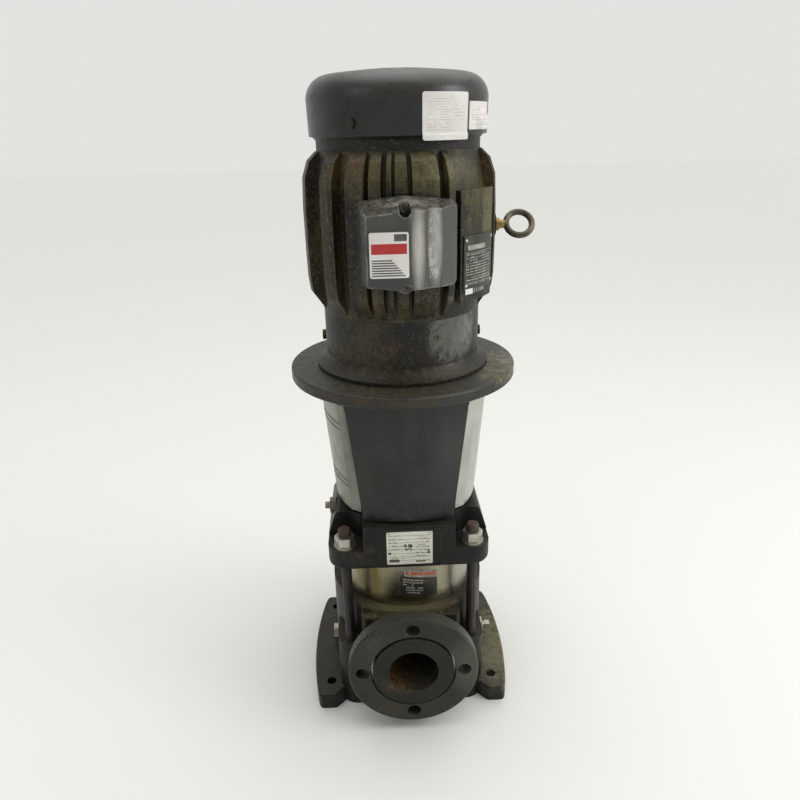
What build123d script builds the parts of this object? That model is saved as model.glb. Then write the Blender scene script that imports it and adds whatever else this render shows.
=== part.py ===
"""Vertical multistage in-line pump with a flange-mounted, fan-cooled motor on top."""

import os
from math import cos, radians, sin, sqrt

from build123d import *

# Driving dimensions in millimetres. Z runs up the pump shaft, and the origin is on
# that axis at the underside of the feet. The ports face -Y and +Y.

# Connection to the pipework and the floor
port_face_distance = 320.0
port_height = 105.0
port_bore_radius = 34.0
hub_radius = 55.5               # raised hub that carries each loose flange ring
flange_radius = 88.9
flange_thickness = 20.0
flange_bolt_circle = 139.7
flange_bolt_count = 4
flange_hole_radius = 9.5
foot_hole_spacing_x = 240.0
foot_hole_spacing_y = 170.0
foot_hole_radius = 7.0
foot_thickness = 25.0
base_length = 298.0             # over both feet, along X
base_width = 226.0              # over both feet, along Y

# Pump body
sleeve_radius = 98.5
sleeve_wall = 2.0
stay_bolt_radius = 8.0
stay_shank_radius = 7.0
stay_bolt_margin = 17.2         # from the sleeve to each stay bolt
base_wall = 13.5                # outside the sleeve
base_rise = 63.0                # from the port's centre to the top of the base
head_corner_radius = 26.0
head_thickness = 40.0           # above the stages
sleeve_overlap = 26.0           # of the head over the sleeve

# Hydraulics
stage_pitch = 48.0
stage_count = 2
outlet_guide_height = 14.0
chamber_wall = 2.5
impeller_eye_radius = 36.0
impeller_blade_count = 7
diffuser_blade_count = 8
pump_shaft_radius = 11.0

# Motor stool, guards and coupling
stool_height = 201.0            # from the pump head to the motor's face
stool_disc_radius = 150.0
stool_disc_thickness = 15.0
stool_wall = 8.0
guard_thickness = 1.2
coupling_radius = 38.0
coupling_length = 110.0

# Motor
motor_flange_radius = 114.3
motor_register_radius = 107.9
motor_bolt_circle = 184.2
end_bell_radius = 101.0
end_bell_length = 77.0
frame_length = 191.0
frame_core_radius = 101.5
frame_bore_radius = 92.0
fin_radius = 119.5
fan_cover_length = 71.0
fan_cover_radius = 107.8
fan_cover_wall = 2.5
motor_shaft_radius = 17.5
rotor_radius = 58.5
core_length = 110.0

# Clearances
running_fit = 0.05              # radial, shaft in its bearing
loose_fit = 0.3                 # between pieces that turn past each other
bolt_fit = 0.2                  # radial, screw in its hole

# Levels up the shaft, worked out from the lengths above
inlet_tube_top = port_height + port_bore_radius + 5
guide_height = 8.0              # of the ring that stands on the inlet tube
stack_bottom = inlet_tube_top + guide_height
stack_top = stack_bottom + stage_count * stage_pitch
base_top = port_height + base_rise
base_lug_top = port_height + 1
sleeve_seat = base_top - 12
head_ceiling = stack_top + outlet_guide_height      # inside the pump head
head_bottom = head_ceiling - sleeve_overlap
head_top = head_ceiling + head_thickness
nut_seat = head_bottom + 29
coupling_bottom = head_top + 43
coupling_top = coupling_bottom + coupling_length
motor_face = head_top + stool_height
seam_height = motor_face + end_bell_length
frame_top = seam_height + frame_length
box_height = seam_height + 96   # centre of the conduit box
fan_cover_bottom = frame_top + 15
fan_cover_top = fan_cover_bottom + fan_cover_length

# Radii and half widths that follow the sleeve
base_body_radius = sleeve_radius + base_wall
passage_radius = sleeve_radius - 6.5                # outer wall of the discharge passage
chamber_radius = passage_radius - 6
impeller_radius = chamber_radius - 16
stay_bolt_offset = (sleeve_radius + stay_bolt_margin + stay_bolt_radius) / sqrt(2)
head_half_x = stay_bolt_offset + 23.5
head_half_y = stay_bolt_offset + 18.5

pieces = {}


def keep(label, builder):
    """Store a finished piece under the name of its node."""
    pieces[label] = builder.part


def turned(points):
    """Revolve a closed outline of (radius, height) points about the shaft axis."""
    with BuildSketch(Plane.XZ) as outline:
        with BuildLine():
            Polyline(*points, close=True)
        make_face()
    revolve(outline.sketch, axis=Axis.Z)


def ring(inner, outer, low, high):
    """Plain ring about the shaft axis."""
    turned([(inner, low), (outer, low), (outer, high), (inner, high)])


def corner_places(offset):
    """The four corners of a square about the shaft axis."""
    return [(x, y) for x in (-offset, offset) for y in (-offset, offset)]


# --------------------------------------------------------------------- pump base
port_face = port_face_distance / 2
block_half_width = 70.0         # flat-fronted block that carries each port
block_half_depth = base_body_radius - 4
block_top = base_top - 11
lug_half = stay_bolt_offset + 18.5
lug_corner_radius = 26.0
stay_thread_bottom = base_lug_top - 32
foot_tip = 14.0                 # rounding of each foot's ends
foot_inner_x = 110.0
foot_waist_y = 98.0
foot_end_x = base_length / 2 - 9.0
inlet_tube_radius = 56.0
inlet_tube_bore = 47.0
passage_bottom = port_height - port_bore_radius - 5
o_ring_radius = 1.4
sleeve_gap = 0.4
plug_height = 44.0
plug_thread_radius = 8.0
plug_thread_length = 14.0
retaining_section = 3.0
retaining_depth = 10.0          # from the port face to the retaining ring's groove
groove_depth = 2.0

with BuildPart() as pump_base:
    with BuildSketch(Plane.XY):
        with BuildLine():
            outer_edge = ThreePointArc(
                (foot_end_x, -base_width / 2 + foot_tip),
                (base_length / 2, 0),
                (foot_end_x, base_width / 2 - foot_tip),
            )
            back_edge = Polyline(
                outer_edge @ 1,
                (foot_end_x - 4, base_width / 2),
                (foot_inner_x + 2, base_width / 2),
                (foot_inner_x - 12, foot_waist_y),
                (-foot_inner_x + 12, foot_waist_y),
                (-foot_inner_x - 2, base_width / 2),
                (-foot_end_x + 4, base_width / 2),
                (-foot_end_x, base_width / 2 - foot_tip),
            )
            mirror(back_edge, about=Plane.XZ)
            mirror(outer_edge, about=Plane.YZ)
        make_face()
        tips = vertices().filter_by(lambda v: abs(v.Y) > base_width / 2 - 1)
        fillet(tips, 7)
    extrude(amount=foot_thickness)
    fillet(edges().group_by(Axis.Z)[-1], 4)
    with BuildSketch(Plane.XY):
        RectangleRounded(2 * lug_half, 2 * lug_half, lug_corner_radius)
    extrude(amount=base_lug_top)
    with BuildSketch(Plane.XY):
        Circle(base_body_radius)
    extrude(amount=base_top)
    with BuildSketch(Plane.XY):
        RectangleRounded(2 * block_half_width, 2 * block_half_depth, 8)
    extrude(amount=block_top)
    for side in (-1, 1):
        with BuildSketch(Plane.XZ.offset(side * port_face)):
            with Locations((0, port_height)):
                Circle(hub_radius)
        extrude(amount=-side * (port_face - block_half_depth + 10))
    # Discharge passage round the inlet tube
    with BuildSketch(Plane.XY.offset(passage_bottom)):
        Circle(passage_radius)
        Circle(inlet_tube_radius, mode=Mode.SUBTRACT)
    extrude(amount=base_top, mode=Mode.SUBTRACT)
    # Wall of the suction passage, which crosses the discharge passage
    with BuildSketch(Plane.XZ):
        with Locations((0, port_height)):
            Circle(port_bore_radius + 6)
    extrude(amount=port_face - 20)
    with BuildSketch(Plane.XY.offset(inlet_tube_top)):
        Circle(passage_radius)
    extrude(amount=base_top, mode=Mode.SUBTRACT)
    with BuildSketch(Plane.XY.offset(port_height - port_bore_radius)):
        Circle(inlet_tube_bore)
    extrude(amount=base_top, mode=Mode.SUBTRACT)
    with BuildSketch(Plane.XZ):
        with Locations((0, port_height)):
            Circle(port_bore_radius)
    extrude(amount=port_face, mode=Mode.SUBTRACT)
    with BuildSketch(Plane.XZ.offset(-inlet_tube_radius - 4)):
        with Locations((0, port_height)):
            Circle(port_bore_radius)
    extrude(amount=-port_face, mode=Mode.SUBTRACT)
    # Groove for the sleeve and its seal ring
    with BuildSketch(Plane.XY.offset(sleeve_seat - 2 * o_ring_radius - sleeve_gap)):
        Circle(sleeve_radius + bolt_fit)
        Circle(sleeve_radius - sleeve_wall - o_ring_radius, mode=Mode.SUBTRACT)
    extrude(amount=base_top, mode=Mode.SUBTRACT)
    # Grooves for the retaining rings
    for side in (-1, 1):
        with BuildSketch(Plane.XZ.offset(side * (port_face - retaining_depth))):
            with Locations((0, port_height)):
                Circle(hub_radius + 1)
                Circle(hub_radius - groove_depth, mode=Mode.SUBTRACT)
        extrude(amount=-side * (retaining_section + bolt_fit), mode=Mode.SUBTRACT)
    with Locations((0, 0, foot_thickness)):
        with GridLocations(foot_hole_spacing_x, foot_hole_spacing_y, 2, 2):
            Hole(foot_hole_radius, depth=foot_thickness)
    with Locations(*[(x, y, base_lug_top) for x, y in corner_places(stay_bolt_offset)]):
        Hole(stay_bolt_radius + bolt_fit, depth=base_lug_top - stay_thread_bottom)
    for side in (-1, 1):
        with BuildSketch(Plane.YZ.offset(side * base_body_radius)):
            with Locations((0, plug_height)):
                Circle(plug_thread_radius + bolt_fit)
        extrude(amount=-side * (plug_thread_length + 1), mode=Mode.SUBTRACT)
keep("pump_base", pump_base)

# Loose flange rings, each held on its hub by a retaining ring
ring_gap = 3.3                  # round the hub, outside the retaining ring
ring_front = port_face - 1.5
ring_chamfer = 2.0
for label, side in (("suction_flange_ring", 1), ("discharge_flange_ring", -1)):
    with BuildPart() as flange_ring:
        with BuildSketch(Plane.XZ.offset(side * ring_front)):
            with Locations((0, port_height)):
                Circle(flange_radius)
                Circle(hub_radius + loose_fit, mode=Mode.SUBTRACT)
                with PolarLocations(flange_bolt_circle / 2, flange_bolt_count):
                    Circle(flange_hole_radius, mode=Mode.SUBTRACT)
        extrude(amount=-side * flange_thickness)
        rims = edges().filter_by(GeomType.CIRCLE).filter_by(
            lambda e: abs(e.radius - flange_radius) < 0.01
        )
        chamfer(rims, ring_chamfer)
        with BuildSketch(Plane.XZ.offset(side * ring_front)):
            with Locations((0, port_height)):
                Circle(hub_radius + ring_gap)
        counterbore = retaining_depth + retaining_section - (port_face - ring_front) + loose_fit
        extrude(amount=-side * counterbore, mode=Mode.SUBTRACT)
    keep(label, flange_ring)

with BuildPart() as retaining_rings:
    for side in (-1, 1):
        with BuildSketch(Plane.XZ.offset(side * (port_face - retaining_depth))):
            with Locations((0, port_height)):
                Circle(hub_radius + ring_gap - loose_fit)
                Circle(hub_radius - groove_depth + bolt_fit, mode=Mode.SUBTRACT)
        extrude(amount=-side * retaining_section)
    # The split that lets each ring spring into its groove
    with BuildSketch(Plane.XY.offset(port_height + hub_radius - groove_depth)):
        Rectangle(5, port_face_distance)
    extrude(amount=groove_depth + ring_gap, mode=Mode.SUBTRACT)
keep("retaining_rings", retaining_rings)

# Screwed plugs in the sides of the base
plug_across_flats = 22.0
plug_hex_height = 7.0
with BuildPart() as drain_plug:
    with BuildSketch(Plane.YZ.offset(base_body_radius)):
        with Locations((0, plug_height)):
            RegularPolygon(plug_across_flats / 2, 6, major_radius=False)
    extrude(amount=plug_hex_height)
    with BuildSketch(Plane.YZ.offset(base_body_radius)):
        with Locations((0, plug_height)):
            Circle(plug_thread_radius)
    extrude(amount=-plug_thread_length)
    with BuildSketch(Plane.YZ.offset(base_body_radius + plug_hex_height)):
        with Locations((0, plug_height)):
            Circle(4.5)
    extrude(amount=4)
    with BuildSketch(Plane.YZ.offset(base_body_radius + plug_hex_height + 4)):
        with Locations((0, plug_height)):
            Rectangle(10, 10)
    extrude(amount=8)
keep("drain_plug", drain_plug)

with BuildPart() as gauge_plug:
    with BuildSketch(Plane.YZ.offset(-base_body_radius)):
        with Locations((0, plug_height)):
            RegularPolygon(plug_across_flats / 2, 6, major_radius=False)
    extrude(amount=-plug_hex_height)
    with BuildSketch(Plane.YZ.offset(-base_body_radius)):
        with Locations((0, plug_height)):
            Circle(plug_thread_radius)
    extrude(amount=plug_thread_length)
keep("gauge_plug", gauge_plug)

# --------------------------------------------------------------------- sleeve and seals
sleeve_inner = sleeve_radius - sleeve_wall
sleeve_end = head_ceiling - 2 * o_ring_radius - sleeve_gap
with BuildPart() as outer_sleeve:
    ring(sleeve_inner, sleeve_radius, sleeve_seat, sleeve_end)
keep("outer_sleeve", outer_sleeve)

o_ring_centre = sleeve_radius - o_ring_radius
for label, height in (
    ("lower_o_ring", sleeve_seat - o_ring_radius - sleeve_gap / 2),
    ("upper_o_ring", sleeve_end + o_ring_radius + sleeve_gap / 2),
):
    with BuildPart() as o_ring:
        with BuildSketch(Plane.XZ):
            with Locations((o_ring_centre, height)):
                RegularPolygon(o_ring_radius, 8)
        revolve(axis=Axis.Z)
    keep(label, o_ring)

# --------------------------------------------------------------------- stages
eye_hole_radius = impeller_eye_radius + 6.0
floor_thickness = 4.0
diffuser_floor = 26.0           # above the underside of its chamber
plate_thickness = 3.0
hub_bush_radius = 19.0
shaft_sleeve_radius = 15.0


def spiral(start_radius, end_radius, sweep_angle, start_angle=0.0):
    """Curved blade line from one radius to another, turning through an angle."""
    middle_radius = (start_radius + end_radius) / 2
    middle_angle = start_angle + sweep_angle * 0.42
    places = []
    for radius, angle in (
        (start_radius, start_angle),
        (middle_radius, middle_angle),
        (end_radius, start_angle + sweep_angle),
    ):
        places.append((radius * cos(radians(angle)), radius * sin(radians(angle))))
    return places


def blades(count, start_radius, end_radius, sweep_angle, thickness, low, high):
    """Ring of curved blades between two heights."""
    for index in range(count):
        line = spiral(start_radius, end_radius, sweep_angle, index * 360 / count)
        with BuildSketch(Plane.XY.offset(low)) as outline:
            with BuildLine():
                ThreePointArc(*line)
            trace(line_width=thickness)
        extrude(outline.sketch, amount=high - low)


with BuildPart() as inlet_guide:
    # Ring on the inlet tube that leads the water into the first impeller
    turned([
        (eye_hole_radius, inlet_tube_top),
        (inlet_tube_radius, inlet_tube_top),
        (inlet_tube_radius, stack_bottom - floor_thickness),
        (chamber_radius, stack_bottom - floor_thickness),
        (chamber_radius, stack_bottom),
        (eye_hole_radius, stack_bottom),
    ])
keep("inlet_guide", inlet_guide)

chamber_floors = [stack_bottom + stage_pitch * stage for stage in range(stage_count)]
for label, low in zip(("first_chamber", "second_chamber"), chamber_floors):
    high = low + stage_pitch
    plate = low + diffuser_floor
    with BuildPart() as chamber:
        ring(chamber_radius - chamber_wall, chamber_radius, low, high)
        ring(eye_hole_radius, chamber_radius, high - floor_thickness, high)
        ring(hub_bush_radius, impeller_radius + 1, plate, plate + plate_thickness)
        blades(
            diffuser_blade_count, impeller_radius - 1, chamber_radius - 1, 16, 2.5,
            plate, plate + plate_thickness,
        )
        blades(
            diffuser_blade_count, 30, chamber_radius - 1, -42, 2.5,
            plate + plate_thickness, high - floor_thickness,
        )
    keep(label, chamber)

with BuildPart() as outlet_guide:
    # Spoked ring that clamps the chambers under the head and carries the top bearing
    ring(eye_hole_radius - 4, chamber_radius, stack_top, stack_top + plate_thickness)
    ring(hub_bush_radius, hub_bush_radius + 4, stack_top, head_ceiling)
    blades(
        diffuser_blade_count, hub_bush_radius + 2, chamber_radius - 1, 12, 3,
        stack_top, head_ceiling,
    )
keep("outlet_guide", outlet_guide)

with BuildPart() as neck_rings:
    for low in chamber_floors:
        ring(impeller_eye_radius + 3 + loose_fit, eye_hole_radius, low - floor_thickness, low)
keep("neck_rings", neck_rings)

with BuildPart() as bearing_bush:
    ring(shaft_sleeve_radius + running_fit, hub_bush_radius, stack_top, head_ceiling)
keep("bearing_bush", bearing_bush)

impeller_height = 23.0
for label, low in zip(("first_impeller", "second_impeller"), chamber_floors):
    shroud = low + 1.5
    back = low + 18.0
    with BuildPart() as impeller:
        turned([
            (impeller_eye_radius, low - floor_thickness),
            (impeller_eye_radius + 3, low - floor_thickness),
            (impeller_eye_radius + 3, shroud),
            (impeller_radius, shroud + 3.5),
            (impeller_radius, shroud + 5.5),
            (impeller_eye_radius, shroud + 3),
        ])
        ring(pump_shaft_radius, impeller_radius, back, back + 2.5)
        ring(pump_shaft_radius, shaft_sleeve_radius, low - floor_thickness, low + impeller_height)
        blades(impeller_blade_count, 24, impeller_radius - 0.5, -62, 2.5, shroud + 2.2, back)
    keep(label, impeller)

# --------------------------------------------------------------------- rotating line
shaft_bottom = stack_bottom - 12.0
pump_shaft_top = coupling_bottom + 57
seal_bore_radius = 24.0
carrier_radius = 36.0
carrier_thickness = 10.0
seal_collar_radius = 19.0
seal_face = head_ceiling + 26.0
collar_low = head_top + carrier_thickness + 1.0
with BuildPart() as shaft_spacers:
    # Bushes that hold the impellers apart on the shaft, and the nut below them
    ring(
        pump_shaft_radius, shaft_sleeve_radius,
        chamber_floors[0] + impeller_height, chamber_floors[1] - floor_thickness,
    )
    ring(
        pump_shaft_radius, shaft_sleeve_radius,
        chamber_floors[1] + impeller_height, head_ceiling + 4,
    )
    with BuildSketch(Plane.XY.offset(shaft_bottom + 2)):
        RegularPolygon(15, 6, major_radius=False)
        Circle(pump_shaft_radius, mode=Mode.SUBTRACT)
    extrude(amount=chamber_floors[0] - floor_thickness - shaft_bottom - 2)
keep("shaft_spacers", shaft_spacers)

with BuildPart() as seal_rotor:
    # Turning half of the shaft seal: face ring below, sleeve, and drive collar above
    turned([
        (pump_shaft_radius, head_ceiling + 4),
        (seal_collar_radius, head_ceiling + 4),
        (seal_collar_radius, seal_face - loose_fit),
        (pump_shaft_radius + 2.5, seal_face - loose_fit),
        (pump_shaft_radius + 2.5, collar_low),
        (seal_collar_radius + 1, collar_low),
        (seal_collar_radius + 1, collar_low + 12),
        (pump_shaft_radius, collar_low + 12),
    ])
keep("seal_rotor", seal_rotor)

with BuildPart() as seal_seat:
    ring(
        pump_shaft_radius + 2.5 + loose_fit, seal_collar_radius,
        seal_face, seal_face + 8,
    )
keep("seal_seat", seal_seat)

carrier_screw_circle = 29.0
with BuildPart() as seal_carrier:
    turned([
        (pump_shaft_radius + 2.5 + 1, seal_face + 8),
        (seal_collar_radius, seal_face + 8),
        (seal_collar_radius, seal_face),
        (seal_bore_radius - bolt_fit, seal_face),
        (seal_bore_radius - bolt_fit, head_top),
        (carrier_radius, head_top),
        (carrier_radius, head_top + carrier_thickness),
        (pump_shaft_radius + 2.5 + 1, head_top + carrier_thickness),
    ])
    with Locations((0, 0, head_top + carrier_thickness)):
        with PolarLocations(carrier_screw_circle, 4, start_angle=45):
            CounterBoreHole(2.7, 4.8, 5)
keep("seal_carrier", seal_carrier)

with BuildPart() as seal_screws:
    with BuildSketch(Plane.XY.offset(head_top + carrier_thickness - 5)):
        with PolarLocations(carrier_screw_circle, 4, start_angle=45):
            Circle(4.5)
    extrude(amount=5)
    with BuildSketch(Plane.XY.offset(head_top + carrier_thickness - 5)):
        with PolarLocations(carrier_screw_circle, 4, start_angle=45):
            Circle(2.5)
    extrude(amount=-18)
    with BuildSketch(Plane.XY.offset(head_top + carrier_thickness)):
        with PolarLocations(carrier_screw_circle, 4, start_angle=45):
            RegularPolygon(2, 6, major_radius=False)
    extrude(amount=-3, mode=Mode.SUBTRACT)
keep("seal_screws", seal_screws)

# --------------------------------------------------------------------- pump head
ledge_half_width = stay_bolt_offset - 25.5          # raised middle of each long side
mound_half_width = stay_bolt_offset - 27            # raised middle of each short side
nut_pocket_radius = 22.0
mound_low = nut_seat + 3
mound_top_half = head_half_x - 11
vent_height = head_top - 12
vent_seat = head_half_x - 10
vent_aside = -20.0
vent_thread_radius = 6.0
panel_half_width = 43.0
stool_screw_offset = (48.0, 68.0)
stool_screw_radius = 5.0
stool_screw_depth = 18.0
with BuildPart() as pump_head:
    with BuildSketch(Plane.XY.offset(head_bottom)):
        RectangleRounded(2 * head_half_x, 2 * head_half_y, head_corner_radius)
    extrude(amount=nut_seat - head_bottom)
    fillet(edges().group_by(Axis.Z)[0], 7)
    # Cross-shaped upper part, hollowed in a curve round each nut
    with BuildSketch(Plane.XY.offset(nut_seat)):
        Rectangle(2 * ledge_half_width, 2 * head_half_y)
        Rectangle(2 * head_half_x, 2 * mound_half_width)
        pocket_corners = vertices().filter_by(
            lambda v: abs(abs(v.X) - ledge_half_width) < 0.01 and abs(abs(v.Y) - mound_half_width) < 0.01
        )
        fillet(pocket_corners, nut_pocket_radius)
    extrude(amount=head_top - nut_seat)
    # Sloping shoulders on the two short sides
    for side in (-1, 1):
        with BuildSketch(Plane.XZ.offset(-head_half_y)):
            with BuildLine():
                Polyline(
                    (side * mound_top_half, head_top + 1), (side * (head_half_x + 1), head_top + 1),
                    (side * (head_half_x + 1), mound_low), (side * head_half_x, mound_low),
                    (side * mound_top_half, head_top), close=True,
                )
            make_face()
        extrude(amount=2 * head_half_y, mode=Mode.SUBTRACT)
    shoulders = edges().filter_by(Axis.Y).filter_by(
        lambda e: abs(e.center().Z - head_top) < 1 and abs(abs(e.center().X) - mound_top_half) < 1
    )
    fillet(shoulders, 8)
    # Slightly raised panel that carries the nameplate
    for side in (-1, 1):
        with BuildSketch(Plane.XZ.offset(side * head_half_y)):
            with Locations((0, (head_bottom + 4 + head_top - 3) / 2)):
                RectangleRounded(2 * panel_half_width, head_top - head_bottom - 7, 3)
        extrude(amount=side * 1.5)
    # Hollow underneath for the sleeve, and the seal chamber
    with BuildSketch(Plane.XY.offset(head_bottom)):
        Circle(sleeve_radius + bolt_fit)
    extrude(amount=head_ceiling - head_bottom, mode=Mode.SUBTRACT)
    with BuildSketch(Plane.XY.offset(head_ceiling)):
        Circle(seal_bore_radius)
    extrude(amount=head_top, mode=Mode.SUBTRACT)
    with Locations(*[(x, y, nut_seat) for x, y in corner_places(stay_bolt_offset)]):
        Hole(stay_bolt_radius + bolt_fit, depth=nut_seat - head_bottom)
    with BuildSketch(Plane.XY.offset(head_top)):
        with PolarLocations(carrier_screw_circle, 4, start_angle=45):
            Circle(2.5 + bolt_fit)
    extrude(amount=-14, mode=Mode.SUBTRACT)
    with BuildSketch(Plane.XY.offset(head_top)):
        with GridLocations(2 * stool_screw_offset[0], 2 * stool_screw_offset[1], 2, 2):
            Circle(stool_screw_radius + bolt_fit)
    extrude(amount=-stool_screw_depth - 1, mode=Mode.SUBTRACT)
    with BuildSketch(Plane.YZ.offset(-vent_seat)):
        with Locations((vent_aside, vent_height)):
            Circle(vent_thread_radius + bolt_fit)
    extrude(amount=20, mode=Mode.SUBTRACT)
    with BuildSketch(Plane.YZ.offset(-vent_seat)):
        with Locations((vent_aside, vent_height)):
            Circle(13)
    extrude(amount=-20, mode=Mode.SUBTRACT)
keep("pump_head", pump_head)

with BuildPart() as vent_plug:
    with BuildSketch(Plane.YZ.offset(-vent_seat)):
        with Locations((vent_aside, vent_height)):
            Circle(vent_thread_radius)
    extrude(amount=18)
    with BuildSketch(Plane.YZ.offset(-vent_seat)):
        with Locations((vent_aside, vent_height)):
            RegularPolygon(10, 6, major_radius=False)
    extrude(amount=-9)
    with BuildSketch(Plane.YZ.offset(-vent_seat - 9)):
        with Locations((vent_aside, vent_height)):
            Circle(5)
    extrude(amount=-7)
keep("vent_plug", vent_plug)

# Stay bolts that clamp the head to the base
washer_thickness = 3.0
nut_height = 13.5
nut_across_flats = 24.0
stay_top = nut_seat + 28
with BuildPart() as stay_bolts:
    with BuildSketch(Plane.XY.offset(stay_thread_bottom + 2)):
        with Locations(*corner_places(stay_bolt_offset)):
            Circle(stay_bolt_radius)
    extrude(amount=base_lug_top + 6 - stay_thread_bottom - 2)
    with BuildSketch(Plane.XY.offset(base_lug_top)):
        with Locations(*corner_places(stay_bolt_offset)):
            Circle(stay_shank_radius)
    extrude(amount=nut_seat - base_lug_top)
    with BuildSketch(Plane.XY.offset(nut_seat - 24)):
        with Locations(*corner_places(stay_bolt_offset)):
            Circle(stay_bolt_radius)
    extrude(amount=stay_top - nut_seat + 24)
    chamfer(edges().group_by(Axis.Z)[-1], 1.2)
keep("stay_bolts", stay_bolts)

with BuildPart() as stay_washers:
    with BuildSketch(Plane.XY.offset(nut_seat)):
        with Locations(*corner_places(stay_bolt_offset)):
            Circle(15)
            Circle(stay_bolt_radius + bolt_fit, mode=Mode.SUBTRACT)
    extrude(amount=washer_thickness)
keep("stay_washers", stay_washers)

with BuildPart() as stay_nuts:
    with BuildSketch(Plane.XY.offset(nut_seat + washer_thickness)):
        with Locations(*corner_places(stay_bolt_offset)):
            RegularPolygon(nut_across_flats / 2, 6, major_radius=False)
            Circle(stay_bolt_radius + bolt_fit, mode=Mode.SUBTRACT)
    extrude(amount=nut_height)
keep("stay_nuts", stay_nuts)

plate_width = 62.0
plate_height = 51.0
plate_centre = head_bottom + 34.5
with BuildPart() as pump_nameplate:
    with BuildSketch(Plane.XZ.offset(head_half_y + 1.5)):
        with Locations((0, plate_centre)):
            RectangleRounded(plate_width, plate_height, 2)
    extrude(amount=0.8)
keep("pump_nameplate", pump_nameplate)

# --------------------------------------------------------------------- motor stool
disc_bottom = motor_face - stool_disc_thickness
stool_foot_thickness = 10.0
wall_bottom = head_top + 4.0
wall_half_bottom = 61.0
wall_half_top = 78.0
wall_front_bottom = 99.0
wall_front_top = 117.0
wall_bow = 10.0                 # how far the middle of each wall stands out
disc_hole_radius = 70.0
register_depth = 4.5
motor_bolt_radius = 6.35


def wall_outline(half_width, front, height):
    """Bowed strip that is one level of a stool wall."""
    side = -front + wall_bow
    with BuildSketch(Plane.XY.offset(height)) as outline:
        with BuildLine():
            outer = ThreePointArc((-half_width, side), (0, -front), (half_width, side))
            inner = ThreePointArc(
                (half_width, side + stool_wall), (0, -front + stool_wall), (-half_width, side + stool_wall)
            )
            Line(outer @ 1, inner @ 0)
            Line(inner @ 1, outer @ 0)
        make_face()
    return outline.sketch


with BuildPart() as motor_stool:
    loft([
        wall_outline(wall_half_bottom, wall_front_bottom, wall_bottom),
        wall_outline(wall_half_top, wall_front_top, disc_bottom),
    ])
    mirror(about=Plane.XZ)
    with BuildSketch(Plane.XY.offset(head_top)):
        RectangleRounded(2 * wall_half_bottom - 2, 2 * (wall_front_bottom - stool_wall + 1), 12)
        Circle(carrier_radius + 10, mode=Mode.SUBTRACT)
    extrude(amount=stool_foot_thickness)
    with BuildSketch(Plane.XY.offset(disc_bottom)):
        Circle(stool_disc_radius)
        Circle(disc_hole_radius, mode=Mode.SUBTRACT)
    extrude(amount=stool_disc_thickness)
    fillet(
        edges().filter_by(GeomType.CIRCLE).filter_by(
            lambda e: abs(e.radius - stool_disc_radius) < 0.01
        ),
        2.5,
    )
    with BuildSketch(Plane.XY.offset(motor_face)):
        Circle(motor_register_radius + bolt_fit)
    extrude(amount=-register_depth, mode=Mode.SUBTRACT)
    with BuildSketch(Plane.XY.offset(motor_face)):
        with PolarLocations(motor_bolt_circle / 2, 4, start_angle=45):
            Circle(motor_bolt_radius + bolt_fit)
    extrude(amount=-stool_disc_thickness, mode=Mode.SUBTRACT)
    with BuildSketch(Plane.XY.offset(head_top + stool_foot_thickness)):
        with GridLocations(2 * stool_screw_offset[0], 2 * stool_screw_offset[1], 2, 2):
            Circle(stool_screw_radius + bolt_fit)
    extrude(amount=-stool_foot_thickness, mode=Mode.SUBTRACT)
keep("motor_stool", motor_stool)

with BuildPart() as stool_screws:
    with BuildSketch(Plane.XY.offset(head_top + stool_foot_thickness)):
        with GridLocations(2 * stool_screw_offset[0], 2 * stool_screw_offset[1], 2, 2):
            Circle(8)
            RegularPolygon(4, 6, major_radius=False, mode=Mode.SUBTRACT)
    extrude(amount=8)
    with BuildSketch(Plane.XY.offset(head_top + stool_foot_thickness + 2)):
        with GridLocations(2 * stool_screw_offset[0], 2 * stool_screw_offset[1], 2, 2):
            Circle(stool_screw_radius)
    extrude(amount=-stool_foot_thickness - stool_screw_depth - 2)
keep("stool_screws", stool_screws)

# Sheet guards that close the two sides of the stool
guard_low = wall_bottom + 10
guard_high = disc_bottom - 2


def guard_line(height):
    """Plan of a guard at one height: front lip, fold, and bowed side panel."""
    rise = (height - wall_bottom) / (disc_bottom - wall_bottom)
    lip_x = wall_half_bottom + (wall_half_top - wall_half_bottom) * rise
    lip_y = wall_front_bottom - wall_bow + (wall_front_top - wall_front_bottom) * rise
    fold_x = 75 + 14 * rise
    fold_y = lip_y - 12
    side_x = 99 + 15 * rise
    return [(lip_x + 1, lip_y - 3), (fold_x, fold_y), (side_x, 0)]


def guard_section(height):
    """Closed strip one sheet thick that follows the guard's plan."""
    lip, fold, side = guard_line(height)
    t = guard_thickness
    with BuildSketch(Plane.XY.offset(height)) as outline:
        with BuildLine():
            panel = ThreePointArc((fold[0], -fold[1]), side, fold)
            front = Polyline(panel @ 1, lip, (lip[0], lip[1] - t), (fold[0] - t, fold[1] - t))
            inner = ThreePointArc(front @ 1, (side[0] - t, 0), (fold[0] - t, -fold[1] + t))
            Polyline(inner @ 1, (lip[0], -lip[1] + t), (lip[0], -lip[1]), panel @ 0)
        make_face()
    return outline.sketch


with BuildPart() as guard_right:
    loft([guard_section(guard_low), guard_section(guard_high)])
    # Notches in the top corners for the stool's hooks
    with BuildSketch(Plane.XY.offset(guard_high)):
        for side in (-1, 1):
            with Locations((wall_half_top + 6, side * (wall_front_top - wall_bow - 8))):
                Rectangle(8, 26)
    extrude(amount=-9, mode=Mode.SUBTRACT)
keep("guard_right", guard_right)

with BuildPart() as guard_left:
    add(guard_right.part)
    mirror(about=Plane.YZ, mode=Mode.REPLACE)
keep("guard_left", guard_left)

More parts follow.
